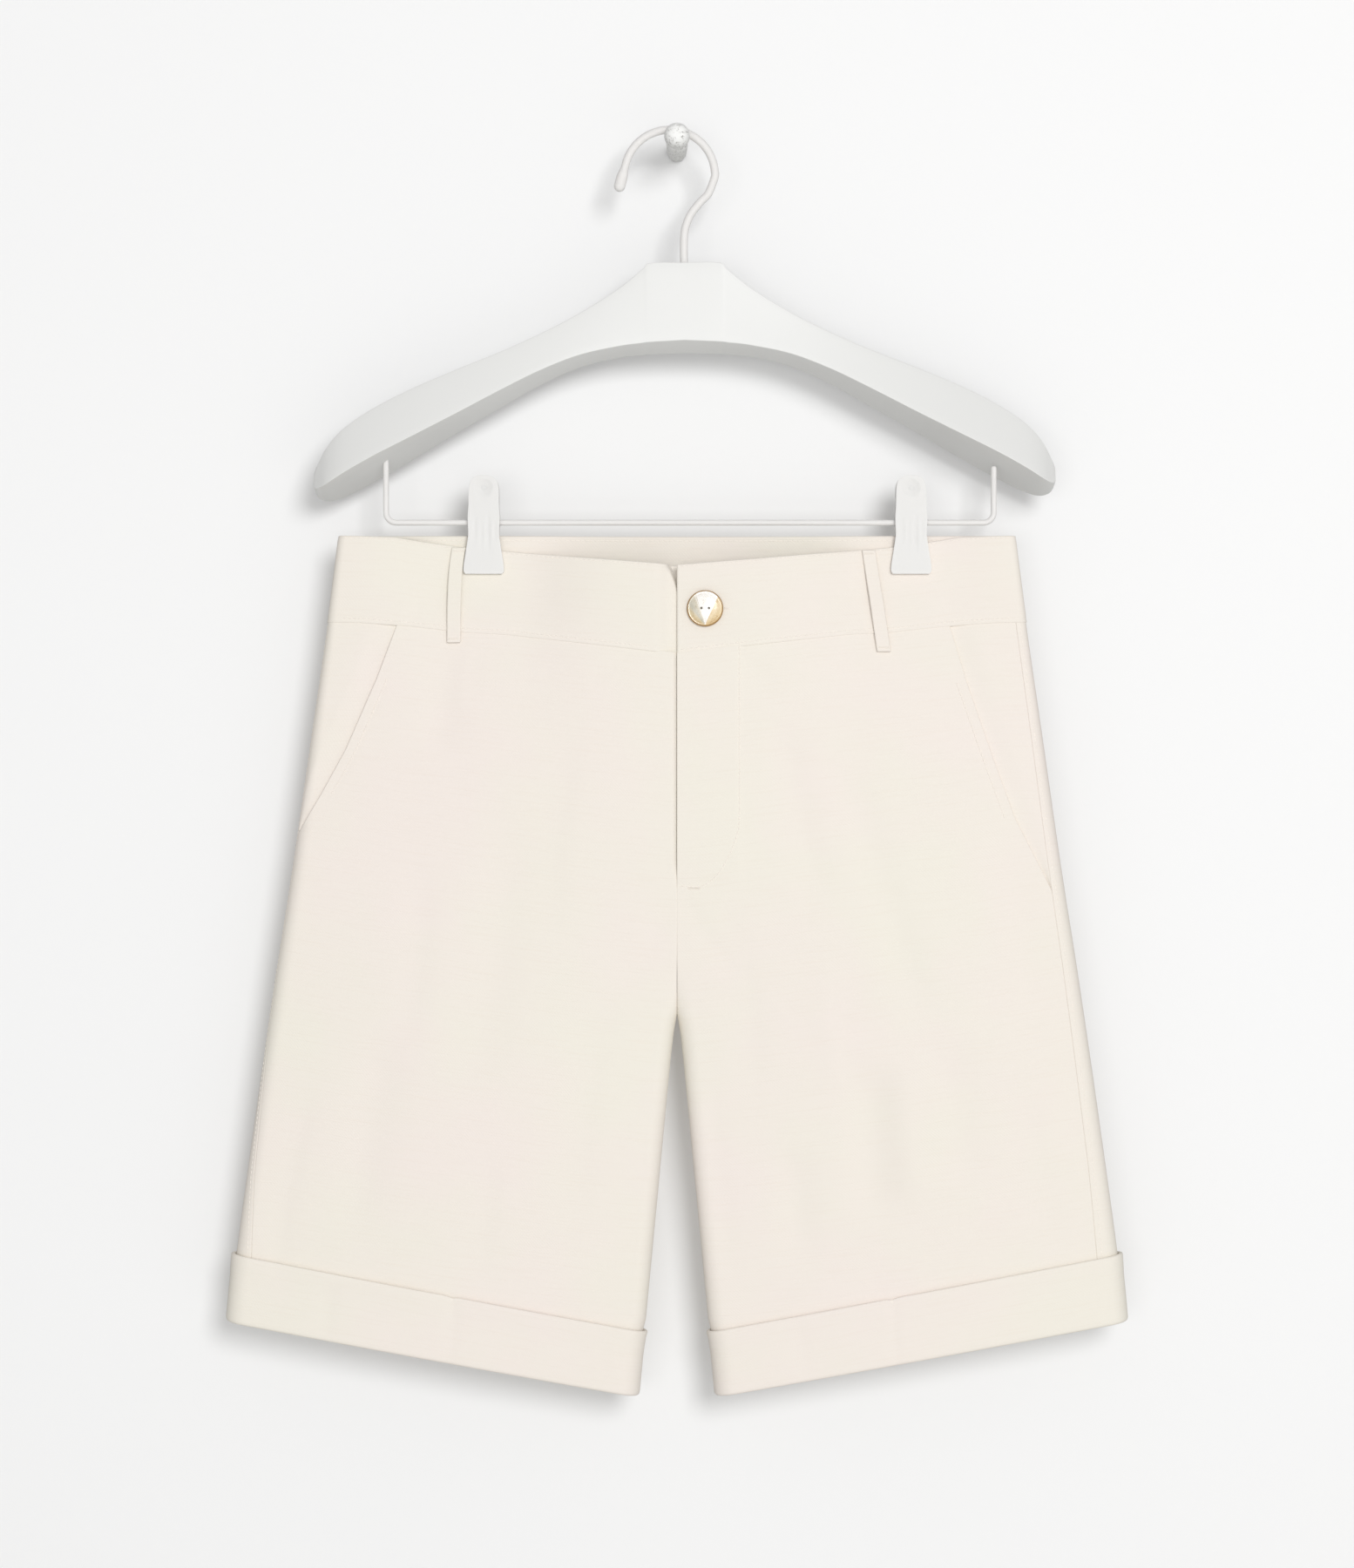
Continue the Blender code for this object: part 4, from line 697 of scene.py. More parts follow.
# ---------------------------------------------------------------------------------------- waistband
# A straight band in three pieces, doubled over its top edge. The left front end dips behind the right
# one before the button. A row of stitching presses a groove near the top and near the seam.

BAND_WALL, BAND_PROUD = 2.2, 0.6
BAND_FOOT = WAIST_SEAM
BAND_TUCK, BAND_TUCK_FROM_X, BAND_TUCK_OVER = BAND_WALL + 0.6, -13.0, 10.0
BAND_HEIGHT, BAND_HALF = 51.0, 210.0
# The left end also sinks at its top edge, in a wedge that narrows downwards to the lap.
DIP_DEPTH, DIP_HEIGHT, DIP_STEP = 8.5, 17.0, 2.2
WEDGE_WIDTH, WEDGE_HEIGHT = 6.2, 21.0
BAND_STITCHES, BAND_GROOVE = (0.045, 0.955), 0.22
band_levels = WAIST_TOP + (BAND_FOOT - WAIST_TOP) * shares(48, BAND_HEIGHT)


def band_groove(level):
    """How far the two rows of stitching press the band in."""
    pressed = np.zeros(level.shape)
    for place in BAND_STITCHES:
        away = (level - place) * BAND_HEIGHT
        pressed -= BAND_GROOVE * np.exp(-((away / GROOVE_WIDTH) ** 2))
    return pressed


def band_piece(name, sides, turns, tuck=False):
    """A length of band along the given turns. Its end tucks behind where tuck is true."""
    level = np.broadcast_to(band_levels[:, None], (len(band_levels), turns.shape[-1]))
    sides, turns = np.broadcast_to(sides, level.shape), np.broadcast_to(turns, level.shape)
    lift = BAND_PROUD + band_groove(level)
    if tuck:
        x = form(sides, turns, level)[..., 0]
        lift = lift - BAND_TUCK * smooth((x - BAND_TUCK_FROM_X) / BAND_TUCK_OVER)
        from_top = (level - WAIST_TOP) / (BAND_FOOT - WAIST_TOP) * BAND_HEIGHT
        dip_from = -WEDGE_WIDTH + WEDGE_WIDTH * np.clip(from_top / WEDGE_HEIGHT, 0, 1)
        dip = DIP_DEPTH * np.exp(-((from_top / DIP_HEIGHT) ** 2))
        lift = lift - dip * smooth((x - dip_from) / DIP_STEP)
    band = cloth_shell(f"{name}_cloth", sides, turns, level, lift, BAND_WALL)
    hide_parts(name)
    return band


around = shares(130, BAND_HALF)
reach = float(turn_at(FRONT, UNDERLAP_RIGHT, 0.5))
under = reach * shares(22, UNDERLAP_RIGHT)[1:]
bands = {
    "front_left": band_piece(
        "waistband_front_left",
        np.concatenate((-np.ones(len(around)), np.ones(len(under)))),
        np.concatenate((around[::-1], under)),
        tuck=True,
    ),
    "front_right": band_piece("waistband_front_right", 1, around),
    "back": band_piece(
        "waistband_back",
        np.concatenate((-np.ones(len(around)), np.ones(len(around) - 1))),
        np.concatenate((2 - around[::-1], 2 - around[1:])),
    ),
}


# ------------------------------------------------------------------------------------ turned-up hems
# Hems turned up outside and pressed, each in a front and a back piece. They are caught to the leg in
# the middle by a few stitches, which draw the top edge in and down a little.

CUFF_CLEAR, LIP_HEIGHT = 0.45, 1.6
CUFF_OUT = CUFF_CLEAR + CUFF_WALL
CUFF_HEIGHT, CUFF_WIDTH = CUFF_TOP_Z - HEM_Z, 230.0
TACK_FREE, TACK_WIDTH, TACK_FROM = 26.0, 2.2, 22.0
TOP_STANDS_OFF, TACK_DRAWS_IN, TACK_DRAWS_DOWN = 0.7, 0.45, 0.8
INNER_SHARE = 0.3
TACKS = {("front", -1): 131.0, ("front", 1): 125.0, ("back", -1): 128.0, ("back", 1): 130.0}
outside = [(CUFF_HEIGHT - h, CUFF_OUT) for h in np.arange(0.9, CUFF_HEIGHT - 2.2, 1.5)]
inside = [(h, CUFF_CLEAR) for h in np.linspace(LIP_HEIGHT, CUFF_HEIGHT - 0.9, 8)]
CUFF_SECTION = (
    (CUFF_HEIGHT, CUFF_CLEAR + 0.7),
    (CUFF_HEIGHT, CUFF_OUT - 0.7),
    (CUFF_HEIGHT - 0.25, CUFF_OUT - 0.2),
    *outside,
    (1.7, CUFF_OUT - 0.05),
    (0.9, CUFF_OUT - 0.3),
    (0.3, CUFF_OUT - 0.75),
    (0.0, CUFF_OUT - 1.4),
    (0.0, 0.1 - PANEL_WALL + 0.8),
    (0.15, 0.3 - PANEL_WALL),
    (0.6, -PANEL_WALL),
    (LIP_HEIGHT, -PANEL_WALL),
    *inside,
    (CUFF_HEIGHT - 0.25, CUFF_CLEAR + 0.2),
)


def cuff_piece(face, side, name):
    """The front or back half of one leg's turned-up hem, as one closed loop of cloth in section."""
    section = np.array(CUFF_SECTION)
    levels = level_where("centre_z", HEM_Z + section[:, 0])
    seam = side_seam_turn(side, levels)
    start, end = (0 * seam, seam) if face == "front" else (seam, 0 * seam + 2)
    turns = start[:, None] + (end - start)[:, None] * shares(120, CUFF_WIDTH)[None, :]
    level = np.broadcast_to(levels[:, None], turns.shape)
    base, out = form(side, turns, level), normal(side, turns, level)
    from_tack = np.abs(np.abs(base[..., 0]) - TACKS[face, side])
    free = np.minimum(from_tack, TACK_FREE) / TACK_FREE
    high = smooth((section[:, 0] - TACK_FROM) / (CUFF_HEIGHT - TACK_FROM))[:, None]
    outer_share = np.clip((section[:, 1] - CUFF_CLEAR) / CUFF_WALL, 0, 1)[:, None]
    caught = np.exp(-((from_tack / TACK_WIDTH) ** 2))
    moved = TOP_STANDS_OFF * smooth(free) - TACK_DRAWS_IN * caught
    flat = section[:, 1][:, None]
    lift = flat + high * moved * (INNER_SHARE + (1 - INNER_SHARE) * outer_share)
    lift = np.where(flat > 0, np.maximum(lift, CUFF_CLEAR), lift)
    points = base + out * lift[..., None]
    points[..., 2] -= high * TACK_DRAWS_DOWN * caught
    rows, columns = turns.shape
    order = np.arange(rows)
    quads = []
    for c in range(columns - 1):
        a, b = order * columns + c, np.roll(order, -1) * columns + c
        quads.append(np.stack((a, a + 1, b + 1, b), axis=-1))
    faces = np.concatenate(quads).tolist()
    faces.append([int(r * columns) for r in order])
    faces.append([int(r * columns + columns - 1) for r in order[::-1]])
    across = run_length(points, 1)
    uvs = np.stack((across, np.broadcast_to(section[:, 0][:, None], across.shape)), axis=-1)
    cuff = cloth_object(
        f"cuff_{face}_{name}_cloth", points.reshape(-1, 3), faces, uvs.reshape(-1, 2), cotton
    )
    cuff.data.set_sharp_from_angle(angle=math.radians(50))
    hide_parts(f"cuff_{face}_{name}")
    return cuff


for side, name in ((-1, "left"), (1, "right")):
    for face in ("front", "back"):
        cuff_piece(face, side, name)


# --------------------------------------------------------------------------------------- belt loops
# Narrow strips of the same cloth, folded to three layers and pressed. Each stands over the waistband,
# tacked at its top edge and below its seam, and bows out a little between.

LOOP_WALL, LOOP_WIDTH, LOOP_LENGTH, LOOP_BOW, LOOP_BELOW_TOP = 1.5, 8.0, 60.0, 1.6, 0.5
LOOP_EDGE = (0.1, 0.35, 0.7)
LoopPlace = namedtuple("LoopPlace", "name face top_x bottom_x below_seam slant_power")
BELT_LOOPS = (
    LoopPlace("front_left", FRONT, -127.4, -130.2, 6.5, 4),
    LoopPlace("front_right", FRONT, 111.8, 120.6, 11.0, 1),
    LoopPlace("back_left", BACK, -84.0, -84.0, 8.0, 1),
    LoopPlace("back_centre", BACK, 0.0, 0.0, 8.0, 1),
    LoopPlace("back_right", BACK, 84.0, 84.0, 8.0, 1),
)


def loop_grid(loop, rows, columns):
    """Sides, turns, levels and lifts of a belt loop's inner face."""
    side = -1 if loop.top_x < 0 else 1
    top_turn = turn_at(loop.face, abs(loop.top_x), WAIST_TOP)
    seam_turn = turn_at(loop.face, abs(loop.bottom_x), WAIST_SEAM)
    top_z = form(side, top_turn, WAIST_TOP)[..., 2]
    bottom_z = form(side, seam_turn, WAIST_SEAM)[..., 2] - loop.below_seam
    z = top_z - LOOP_BELOW_TOP + (bottom_z - top_z + LOOP_BELOW_TOP) * rows
    share = (top_z - z) / (top_z - bottom_z)
    middle = loop.bottom_x + (loop.top_x - loop.bottom_x) * (1 - share) ** loop.slant_power
    x = middle[:, None] + LOOP_WIDTH * (columns - 0.5)[None, :]
    z = np.broadcast_to(z[:, None], x.shape)
    sides = np.where(x < 0, -1, 1)
    levels = level_at(sides, loop.face, np.abs(x), z)
    turns = turn_at(loop.face, np.abs(x), levels)
    lift = BAND_PROUD + GAP + LOOP_BOW * np.sin(math.pi * share) ** 2
    return sides, turns, levels, np.broadcast_to(lift[:, None], x.shape)


loops = {}
for loop in BELT_LOOPS:
    rows, columns = shares(44, LOOP_LENGTH), shares(11, LOOP_WIDTH, LOOP_EDGE)
    sides, turns, levels, lift = loop_grid(loop, rows, columns)
    strip = cloth_shell(f"belt_loop_{loop.name}_cloth", sides, turns, levels, lift + LOOP_WALL, LOOP_WALL)
    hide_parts(f"belt_loop_{loop.name}")
    loops[loop.name] = strip


# ------------------------------------------------------------------------------------------ stitching
# Rows of cream polyester stitches, one short round length of thread each, pulled slightly into the
# cloth, with tighter bars where a seam end takes strain.

STITCH_PITCH, STITCH_LENGTH, THREAD_RADIUS = 2.9, 2.3, 0.24
BAR_STEP = 0.62
# Along a stitch: the share of its length from its middle, of its thickness, and how far it rises.
STITCH_ROD = ((-0.5, 0.45, -0.2), (-0.3, 1, 0), (0.3, 1, 0), (0.5, 0.45, -0.2))
thread, shader = new_material("cream_polyester_thread_twisted", "#F6EFE6", 0.6)
shader.inputs["Sheen Weight"].default_value = 0.1


def stitch_run(points, normals):
    """Where each stitch of a row lies: its middle, its direction, its way out and its length."""
    along = run_length(points, 0)
    middles = np.arange(STITCH_PITCH / 2, along[-1], STITCH_PITCH)
    place = np.stack([np.interp(middles, along, points[:, i]) for i in range(3)], axis=-1)
    ahead = np.stack([np.interp(middles + 0.3, along, points[:, i]) for i in range(3)], axis=-1)
    behind = np.stack([np.interp(middles - 0.3, along, points[:, i]) for i in range(3)], axis=-1)
    out = np.stack([np.interp(middles, along, normals[:, i]) for i in range(3)], axis=-1)
    direction = ahead - behind
    direction /= np.linalg.norm(direction, axis=-1, keepdims=True)
    return place, direction, out, np.full(len(middles), STITCH_LENGTH)


def form_run(sides, turns, levels, lift):
    """A row over the form, from dense sides, turns and levels."""
    out = normal(sides, turns, levels)
    return stitch_run(form(sides, turns, levels) + out * np.asarray(lift)[..., None], out)


def path_run(face, path, lift_at):
    """A row along a path of (x, z) points on the front or back."""
    sides = np.where(path[:, 0] < 0, -1, 1)
    across = np.abs(path[:, 0])
    levels = level_at(sides, face, across, path[:, 1])
    turns = turn_at(face, across, levels)
    return form_run(sides, turns, levels, lift_at(form(sides, turns, levels)))


def bar_run(face, x, z, width, height, lift, turned=False):
    """A tight bar of stitches, side by side, in a small block."""
    if turned:
        spots = [(x, z + up) for up in np.arange(-height / 2, height / 2, BAR_STEP)]
    else:
        spots = [(x + across, z) for across in np.arange(-width / 2, width / 2, BAR_STEP)]
    spots = np.array(spots)
    sides = np.where(spots[:, 0] < 0, -1, 1)
    levels = level_at(sides, face, np.abs(spots[:, 0]), spots[:, 1])
    turns = turn_at(face, np.abs(spots[:, 0]), levels)
    out = normal(sides, turns, levels)
    place = form(sides, turns, levels) + out * lift
    down = form(sides, turns, levels + 0.01) - form(sides, turns, levels)
    down /= np.linalg.norm(down, axis=-1, keepdims=True)
    direction = np.cross(down, out) if turned else down
    return place, direction, out, np.full(len(spots), width if turned else height)


def sew(name, runs):
    """One mesh of all the stitches: a six-sided rod each, narrowed and bent down at both ends."""
    place, direction, out, length = (np.concatenate(group) for group in zip(*runs))
    out = out - direction * np.sum(out * direction, axis=-1, keepdims=True)
    out /= np.linalg.norm(out, axis=-1, keepdims=True)
    across = np.cross(direction, out)
    points = []
    for along, radius, rise in STITCH_ROD:
        for corner in range(6):
            angle = corner * math.pi / 3
            sideways = math.cos(angle) * radius * THREAD_RADIUS
            upwards = math.sin(angle) * radius * THREAD_RADIUS + rise
            points.append(place + direction * (along * length)[:, None] + across * sideways + out * upwards)
    points = np.stack(points, axis=1)
    ring = np.arange(6)
    after = np.roll(ring, -1)
    faces = [np.stack((ring + r, after + r, after + r + 6, ring + r + 6), axis=-1) for r in (0, 6, 12)]
    faces = np.concatenate(faces)
    starts = np.arange(len(place)) * 24
    quads = (faces[None] + starts[:, None, None]).reshape(-1, 4).tolist()
    ends = np.array((ring[::-1], ring + 18))
    caps = (ends[None] + starts[:, None, None]).reshape(-1, 6).tolist()
    mesh = bpy.data.meshes.new(name)
    mesh.from_pydata(points.reshape(-1, 3) * MM, [], quads + caps)
    mesh.shade_smooth()
    mesh.materials.append(thread)
    rows = bpy.data.objects.new(name, mesh)
    bpy.context.collection.objects.link(rows)
    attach(rows, "root")
    return rows


def front_lift(points):
    """How far stitches on the fronts stand off, half sunk in the cloth."""
    return np.where(points[..., 0] > 0, fly_lift(points), 0.0) - 0.05


def band_row(face, start_x, end_x, place, lift):
    """A row across the band, from one distance to another, at a share of its height."""
    x = np.linspace(start_x, end_x, 500)
    sides = np.where(x < 0, -1, 1)
    levels = np.full(len(x), float(place))
    return form_run(sides, turn_at(face, np.abs(x), levels), levels, np.full(len(x), lift))


front_rows = [path_run(FRONT, fly_path, front_lift)]
for side in (-1, 1):
    front_rows.append(path_run(FRONT, mouth_paths[side], lambda p: np.full(len(p), 0.0)))
front_rows.append(bar_run(FRONT, x=10.2, z=-437.5, width=7.0, height=1.6, lift=0.2))
front_stitches = sew("front_stitching", front_rows)


def seam_row(side, seam, beside, end_z, lift=-0.05):
    """A row down a panel, beside a seam given as turns at each level, from the waist seam to end_z."""
    levels = np.linspace(PANEL_TOP + 0.03, float(level_where("centre_z", end_z)), 420)
    turns = seam(levels) + beside / row_at(levels).outer_x
    return form_run(np.full(len(levels), side), turns, levels, np.full(len(levels), lift))


SEAM_ROW_IN, SEAT_ROWS_APART = 3.0, 5.0
back_rows = []
for side in (-1, 1):
    back_rows.append(seam_row(side, lambda level: side_seam_turn(side, level), SEAM_ROW_IN, CUFF_TOP_Z + 3))
for beside in (-SEAM_ROW_IN, -SEAM_ROW_IN - SEAT_ROWS_APART):
    back_rows.append(seam_row(-1, lambda level: 0 * level + 2.0, beside, CROTCH_Z))
back_stitches = sew("back_stitching", back_rows)

TACK_BELOW_TOP = 1.9
cuff_rows = []
for (face, side), across in TACKS.items():
    on_face = FRONT if face == "front" else BACK
    top = level_where("centre_z", CUFF_TOP_Z)
    tack_z = float(form(side, turn_at(on_face, across, top), top)[..., 2])
    tack_z -= TACK_BELOW_TOP
    cuff_rows.append(bar_run(on_face, side * across, tack_z, width=1.4, height=2.4, lift=CUFF_OUT - 0.5))
cuff_stitches = sew("cuff_tack_stitching", cuff_rows)

TACK_IN_FROM_SIDES, TOP_TACK_IN, FOOT_TACK_IN = 2.2, 2.6, 2.2
on_loop = BAND_PROUD + GAP + LOOP_WALL + 0.1
loop_rows = []
for loop in BELT_LOOPS:
    side = -1 if loop.top_x < 0 else 1
    top_z = form(side, turn_at(loop.face, abs(loop.top_x), WAIST_TOP), WAIST_TOP)[..., 2]
    seam_turn = turn_at(loop.face, abs(loop.bottom_x), WAIST_SEAM)
    foot_z = form(side, seam_turn, WAIST_SEAM)[..., 2] - loop.below_seam
    ends = ((loop.top_x, float(top_z) - TOP_TACK_IN), (loop.bottom_x, float(foot_z) + FOOT_TACK_IN))
    for x, z in ends:
        loop_rows.append(bar_run(loop.face, x, z, LOOP_WIDTH - TACK_IN_FROM_SIDES, 1.4, on_loop))
loop_stitches = sew("belt_loop_stitching", loop_rows)

on_band = BAND_PROUD - 0.12
behind_band = BAND_PROUD - BAND_WALL + 0.1
ROW_END_X, LAP_ROW_X, UNDER_ROW_X = 195.0, 2.0, -16.0
INSIDE_ROW_END_X, INSIDE_ROW = 190.0, 0.09
rows = []
for place in BAND_STITCHES:
    rows.append(band_row(FRONT, -ROW_END_X, UNDER_ROW_X, place, on_band))
    rows.append(band_row(FRONT, LAP_ROW_X, ROW_END_X, place, on_band))
    rows.append(band_row(BACK, -ROW_END_X, ROW_END_X, place, on_band))
rows.append(band_row(BACK, -INSIDE_ROW_END_X, INSIDE_ROW_END_X, INSIDE_ROW, behind_band))
# The bar at the outer end of the buttonhole.
rows.append(
    bar_run(FRONT, x=29.0, z=-274.6, width=3.6, height=1.2, lift=BAND_PROUD + 0.1, turned=True)
)
band_stitches = sew("waistband_stitching", rows)


# ----------------------------------------------------------------------------------------- the hanger
# A moulded white body, flat in front, with soft edges and an underside that slopes down to the back.
# It is one plate from the middle to both tips, thicker towards the arms' ends.

Station = namedtuple("Station", "x top front_low back_low top_half front_half back_half")
STATIONS = np.array(
    (
        (0, -72.5, -118.0, -124.0, 6.0, 8.0, 8.0),
        (20, -72.6, -119.0, -124.5, 6.0, 8.0, 8.0),
        (25, -76.6, -119.6, -125.0, 6.0, 8.0, 8.0),
        (39, -87.8, -121.4, -126.4, 6.0, 8.2, 8.2),
        (62, -102.1, -126.5, -132.0, 6.0, 8.8, 8.8),
        (85, -113.8, -135.5, -142.1, 6.2, 10.0, 10.0),
        (108, -124.0, -147.0, -154.8, 6.6, 12.0, 12.0),
        (135, -134.8, -161.4, -169.8, 7.2, 15.0, 15.0),
        (160, -145.5, -174.4, -184.3, 7.8, 18.0, 18.0),
        (182, -156.7, -185.7, -196.5, 8.2, 19.5, 20.0),
        (198, -167.4, -194.6, -204.8, 8.0, 18.5, 19.5),
        (208, -177.6, -200.6, -208.6, 6.5, 15.5, 16.0),
        (214, -188.0, -203.0, -208.0, 4.4, 9.8, 10.4),
        (216.6, -194.0, -202.0, -205.0, 3.2, 6.0, 6.4),
    )
)
HANGER_X, HANGER_TILT = 4.4, math.radians(0.45)
EDGE_RADIUS = 3.2


def plate(name, columns, rows, place, radius, material, segments=5):
    """A plate made from a grid drawn back into a slab. Place gives each corner, in mm, from how far it
    is along and up the plate, from -1 to 1, and whether it is at the back. Its edges are rounded."""
    bpy.ops.mesh.primitive_grid_add(x_subdivisions=columns, y_subdivisions=rows, size=2)
    piece = bpy.context.object
    piece.name = name
    bpy.ops.object.mode_set(mode="EDIT")
    bpy.ops.mesh.select_all(action="SELECT")
    bpy.ops.mesh.extrude_region_move(TRANSFORM_OT_translate={"value": (0, 0, 1)})
    bpy.ops.object.mode_set(mode="OBJECT")
    for vertex in piece.data.vertices:
        vertex.co = Vector(place(vertex.co.x, vertex.co.y, vertex.co.z > 0.5)) * MM
    bpy.ops.object.mode_set(mode="EDIT")
    bpy.ops.mesh.select_all(action="SELECT")
    bpy.ops.mesh.normals_make_consistent(inside=False)
    bpy.ops.object.mode_set(mode="OBJECT")
    bpy.ops.object.modifier_add(type="BEVEL")
    bevel = piece.modifiers[-1]
    bevel.width = radius * MM
    bevel.segments = segments
    bevel.limit_method = "ANGLE"
    bevel.angle_limit = math.radians(40)
    bpy.ops.object.modifier_apply(modifier=bevel.name)
    bpy.ops.object.shade_smooth_by_angle(angle=math.radians(40))
    piece.data.materials.append(material)
    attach(piece, "root")
    return piece


def table_at(table, place):
    """A row of a table between its rows, on a smooth curve through them."""
    index = min(int(place), len(table) - 2)
    t = place - index
    a, b = table[max(index - 1, 0)], table[index]
    c, d = table[index + 1], table[min(index + 2, len(table) - 1)]
    return b + 0.5 * t * (c - a + t * (2 * a - 5 * b + 4 * c - d + t * (3 * (b - c) + d - a)))


def hanger_corner(along, up, back):
    """Where a corner of the hanger's plate goes, in mm."""
    station = Station(*table_at(STATIONS, abs(along) * (len(STATIONS) - 1)))
    share = (up + 1) / 2
    low = station.back_low if back else station.front_low
    low_half = station.back_half if back else station.front_half
    across = math.copysign(station.x, along)
    depth = low_half + (station.top_half - low_half) * share
    z = low + (station.top - low) * share + across * math.tan(HANGER_TILT)
    return HANGER_X + across, HANG_Y + (depth if back else -depth), z


# Moulded plastic, pale grey-white with a satin sheen, and a faint ripple about 17 mm long left by the
# mould.
MOULD_RIPPLE = 16.7 * MM
plastic, shader = new_material("moulded_white_hanger_plastic_satin", "#E4E4E2", 0.42)
place = add_node(plastic, "ShaderNodeTexCoord")
ripple = add_node(
    plastic,
    "ShaderNodeTexNoise",
    {},
    {"Vector": place.outputs["Object"], "Scale": 1 / MOULD_RIPPLE, "Detail": 2.0},
)
ripple_bump = add_node(
    plastic, "ShaderNodeBump", {}, {"Height": ripple.outputs["Fac"], "Strength": 0.12, "Distance": 0.0006}
)
plastic.node_tree.links.new(ripple_bump.outputs["Normal"], shader.inputs["Normal"])

HANGER_COLUMNS, HANGER_ROWS = 156, 7
hanger = plate(
    "hanger_moulding",
    HANGER_COLUMNS,
    HANGER_ROWS,
    hanger_corner,
    EDGE_RADIUS,
    plastic,
    segments=6,
)
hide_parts("hanger_body")


# ------------------------------------------------------------------------------------- hook and bar
# Steel wire dipped in a white coat: a hook whose straight neck is held in the hanger, and the bar
# below, bent up into a post at each end and pressed into the underside of the arms.

HOOK_WIRE, HOOK_TIP_RADIUS, BAR_WIRE = 2.35, 3.3, 1.7
HOOK_PLACES = ((4.4, -83.5), (4.2, -74.0), (4.0, -66.0), (4.1, -58.0), (5.0, -51.0), (8.0, -43.6))
HOOK_PLACES += ((13.2, -36.8), (18.4, -31.2))
HOOK_ARC_X, HOOK_ARC_Z, HOOK_ARC_RADIUS = -4.3, -20.5, 26.5
HOOK_TIP = (-33.6, -27.0)
BAR_Z, BAR_LEFT_X, BAR_RIGHT_X, BAR_BEND = -224.0, -170.3, 185.4, 6.0
LEFT_POST_TOP, RIGHT_POST_TOP = -187.0, -192.5
TIP_SWELL_FROM, TIP_SWELL_OVER = 11.0, 5.0


def wire(name, path, radius, material, end_radius=None):
    """A round wire along (x, z) places in the hanger's plane, with a dome at each end. Its last 11 mm
    can swell to a dipped tip of another radius."""
    curve = bpy.data.curves.new(name, "CURVE")
    curve.dimensions = "3D"
    curve.bevel_depth = radius * MM
    curve.bevel_resolution = 7
    curve.use_fill_caps = True
    spline = curve.splines.new("POLY")
    spline.points.add(len(path) - 1)
    ends = [radius, radius]
    for point, (x, z) in zip(spline.points, path):
        point.co = (x * MM, HANG_Y * MM, z * MM, 1.0)
        if end_radius:
            to_end = math.hypot(x - path[-1][0], z - path[-1][1])
            swell = float(smooth((TIP_SWELL_FROM - to_end) / TIP_SWELL_OVER))
            point.radius = 1 + (end_radius / radius - 1) * swell
            ends[1] = end_radius
    piece = bpy.data.objects.new(name, curve)
    bpy.context.collection.objects.link(piece)
    bpy.ops.object.select_all(action="DESELECT")
    piece.select_set(True)
    bpy.context.view_layer.objects.active = piece
    bpy.ops.object.convert(target="MESH")
    piece = bpy.context.object
    piece.data.materials.append(material)
    for (x, z), ball in zip((path[0], path[-1]), ends):
        bpy.ops.mesh.primitive_uv_sphere_add(
            segments=32, ring_count=16, radius=ball * MM, location=(x * MM, HANG_Y * MM, z * MM)
        )
        dome = bpy.context.object
        bpy.ops.object.select_all(action="DESELECT")
        piece.select_set(True)
        bpy.context.view_layer.objects.active = piece
        bpy.ops.object.modifier_add(type="BOOLEAN")
        piece.modifiers[-1].operation = "UNION"
        piece.modifiers[-1].object = dome
        bpy.ops.object.modifier_apply(modifier=piece.modifiers[-1].name)
        bpy.data.objects.remove(dome)
    bpy.ops.object.shade_smooth()
    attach(piece, "root")
    return piece


# The coat is thick enough to let light a little way in, so the wire shades softly. Its surface is dull,
# with a fine pebble of some 0.7 mm.
PEBBLE = 0.67 * MM
steel, shader = new_material("white_dip_coated_steel_wire_matt", "#E8E6E4", 0.6)
shader.inputs["Subsurface Weight"].default_value = 0.7
shader.inputs["Subsurface Radius"].default_value = (1.0, 1.0, 1.0)
shader.inputs["Subsurface Scale"].default_value = 0.003
shader.inputs["Specular IOR Level"].default_value = 0.25
place = add_node(steel, "ShaderNodeTexCoord")
pebble = add_node(steel, "ShaderNodeTexNoise", {}, {"Vector": place.outputs["Object"], "Scale": 1 / PEBBLE})
pebble_bump = add_node(
    steel, "ShaderNodeBump", {}, {"Height": pebble.outputs["Fac"], "Strength": 0.15, "Distance": 0.0001}
)
steel.node_tree.links.new(pebble_bump.outputs["Normal"], shader.inputs["Normal"])

hook_path = list(HOOK_PLACES)
for degrees in range(-2, 170, 6):
    angle = math.radians(degrees)
    x = HOOK_ARC_X + HOOK_ARC_RADIUS * math.cos(angle)
    hook_path.append((x, HOOK_ARC_Z + HOOK_ARC_RADIUS * math.sin(angle)))
hook_path.append(HOOK_TIP)
hook = wire(
    "hook_wire", curve_through(hook_path, 1.2), HOOK_WIRE, steel, HOOK_TIP_RADIUS
)
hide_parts("hanger_hook")

bar_path = [(BAR_LEFT_X, LEFT_POST_TOP)]
for x, inward in ((BAR_LEFT_X, 1), (BAR_RIGHT_X, -1)):
    corner = []
    for degrees in range(0, 91, 9):
        angle = math.radians(degrees)
        across = x + inward * BAR_BEND * (1 - math.cos(angle))
        corner.append((across, BAR_Z + BAR_BEND * (1 - math.sin(angle))))
    bar_path += corner if inward > 0 else corner[::-1]
bar_path.append((BAR_RIGHT_X, RIGHT_POST_TOP))
bar = wire("bar_wire", bar_path, BAR_WIRE, steel)
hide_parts("clip_bar")


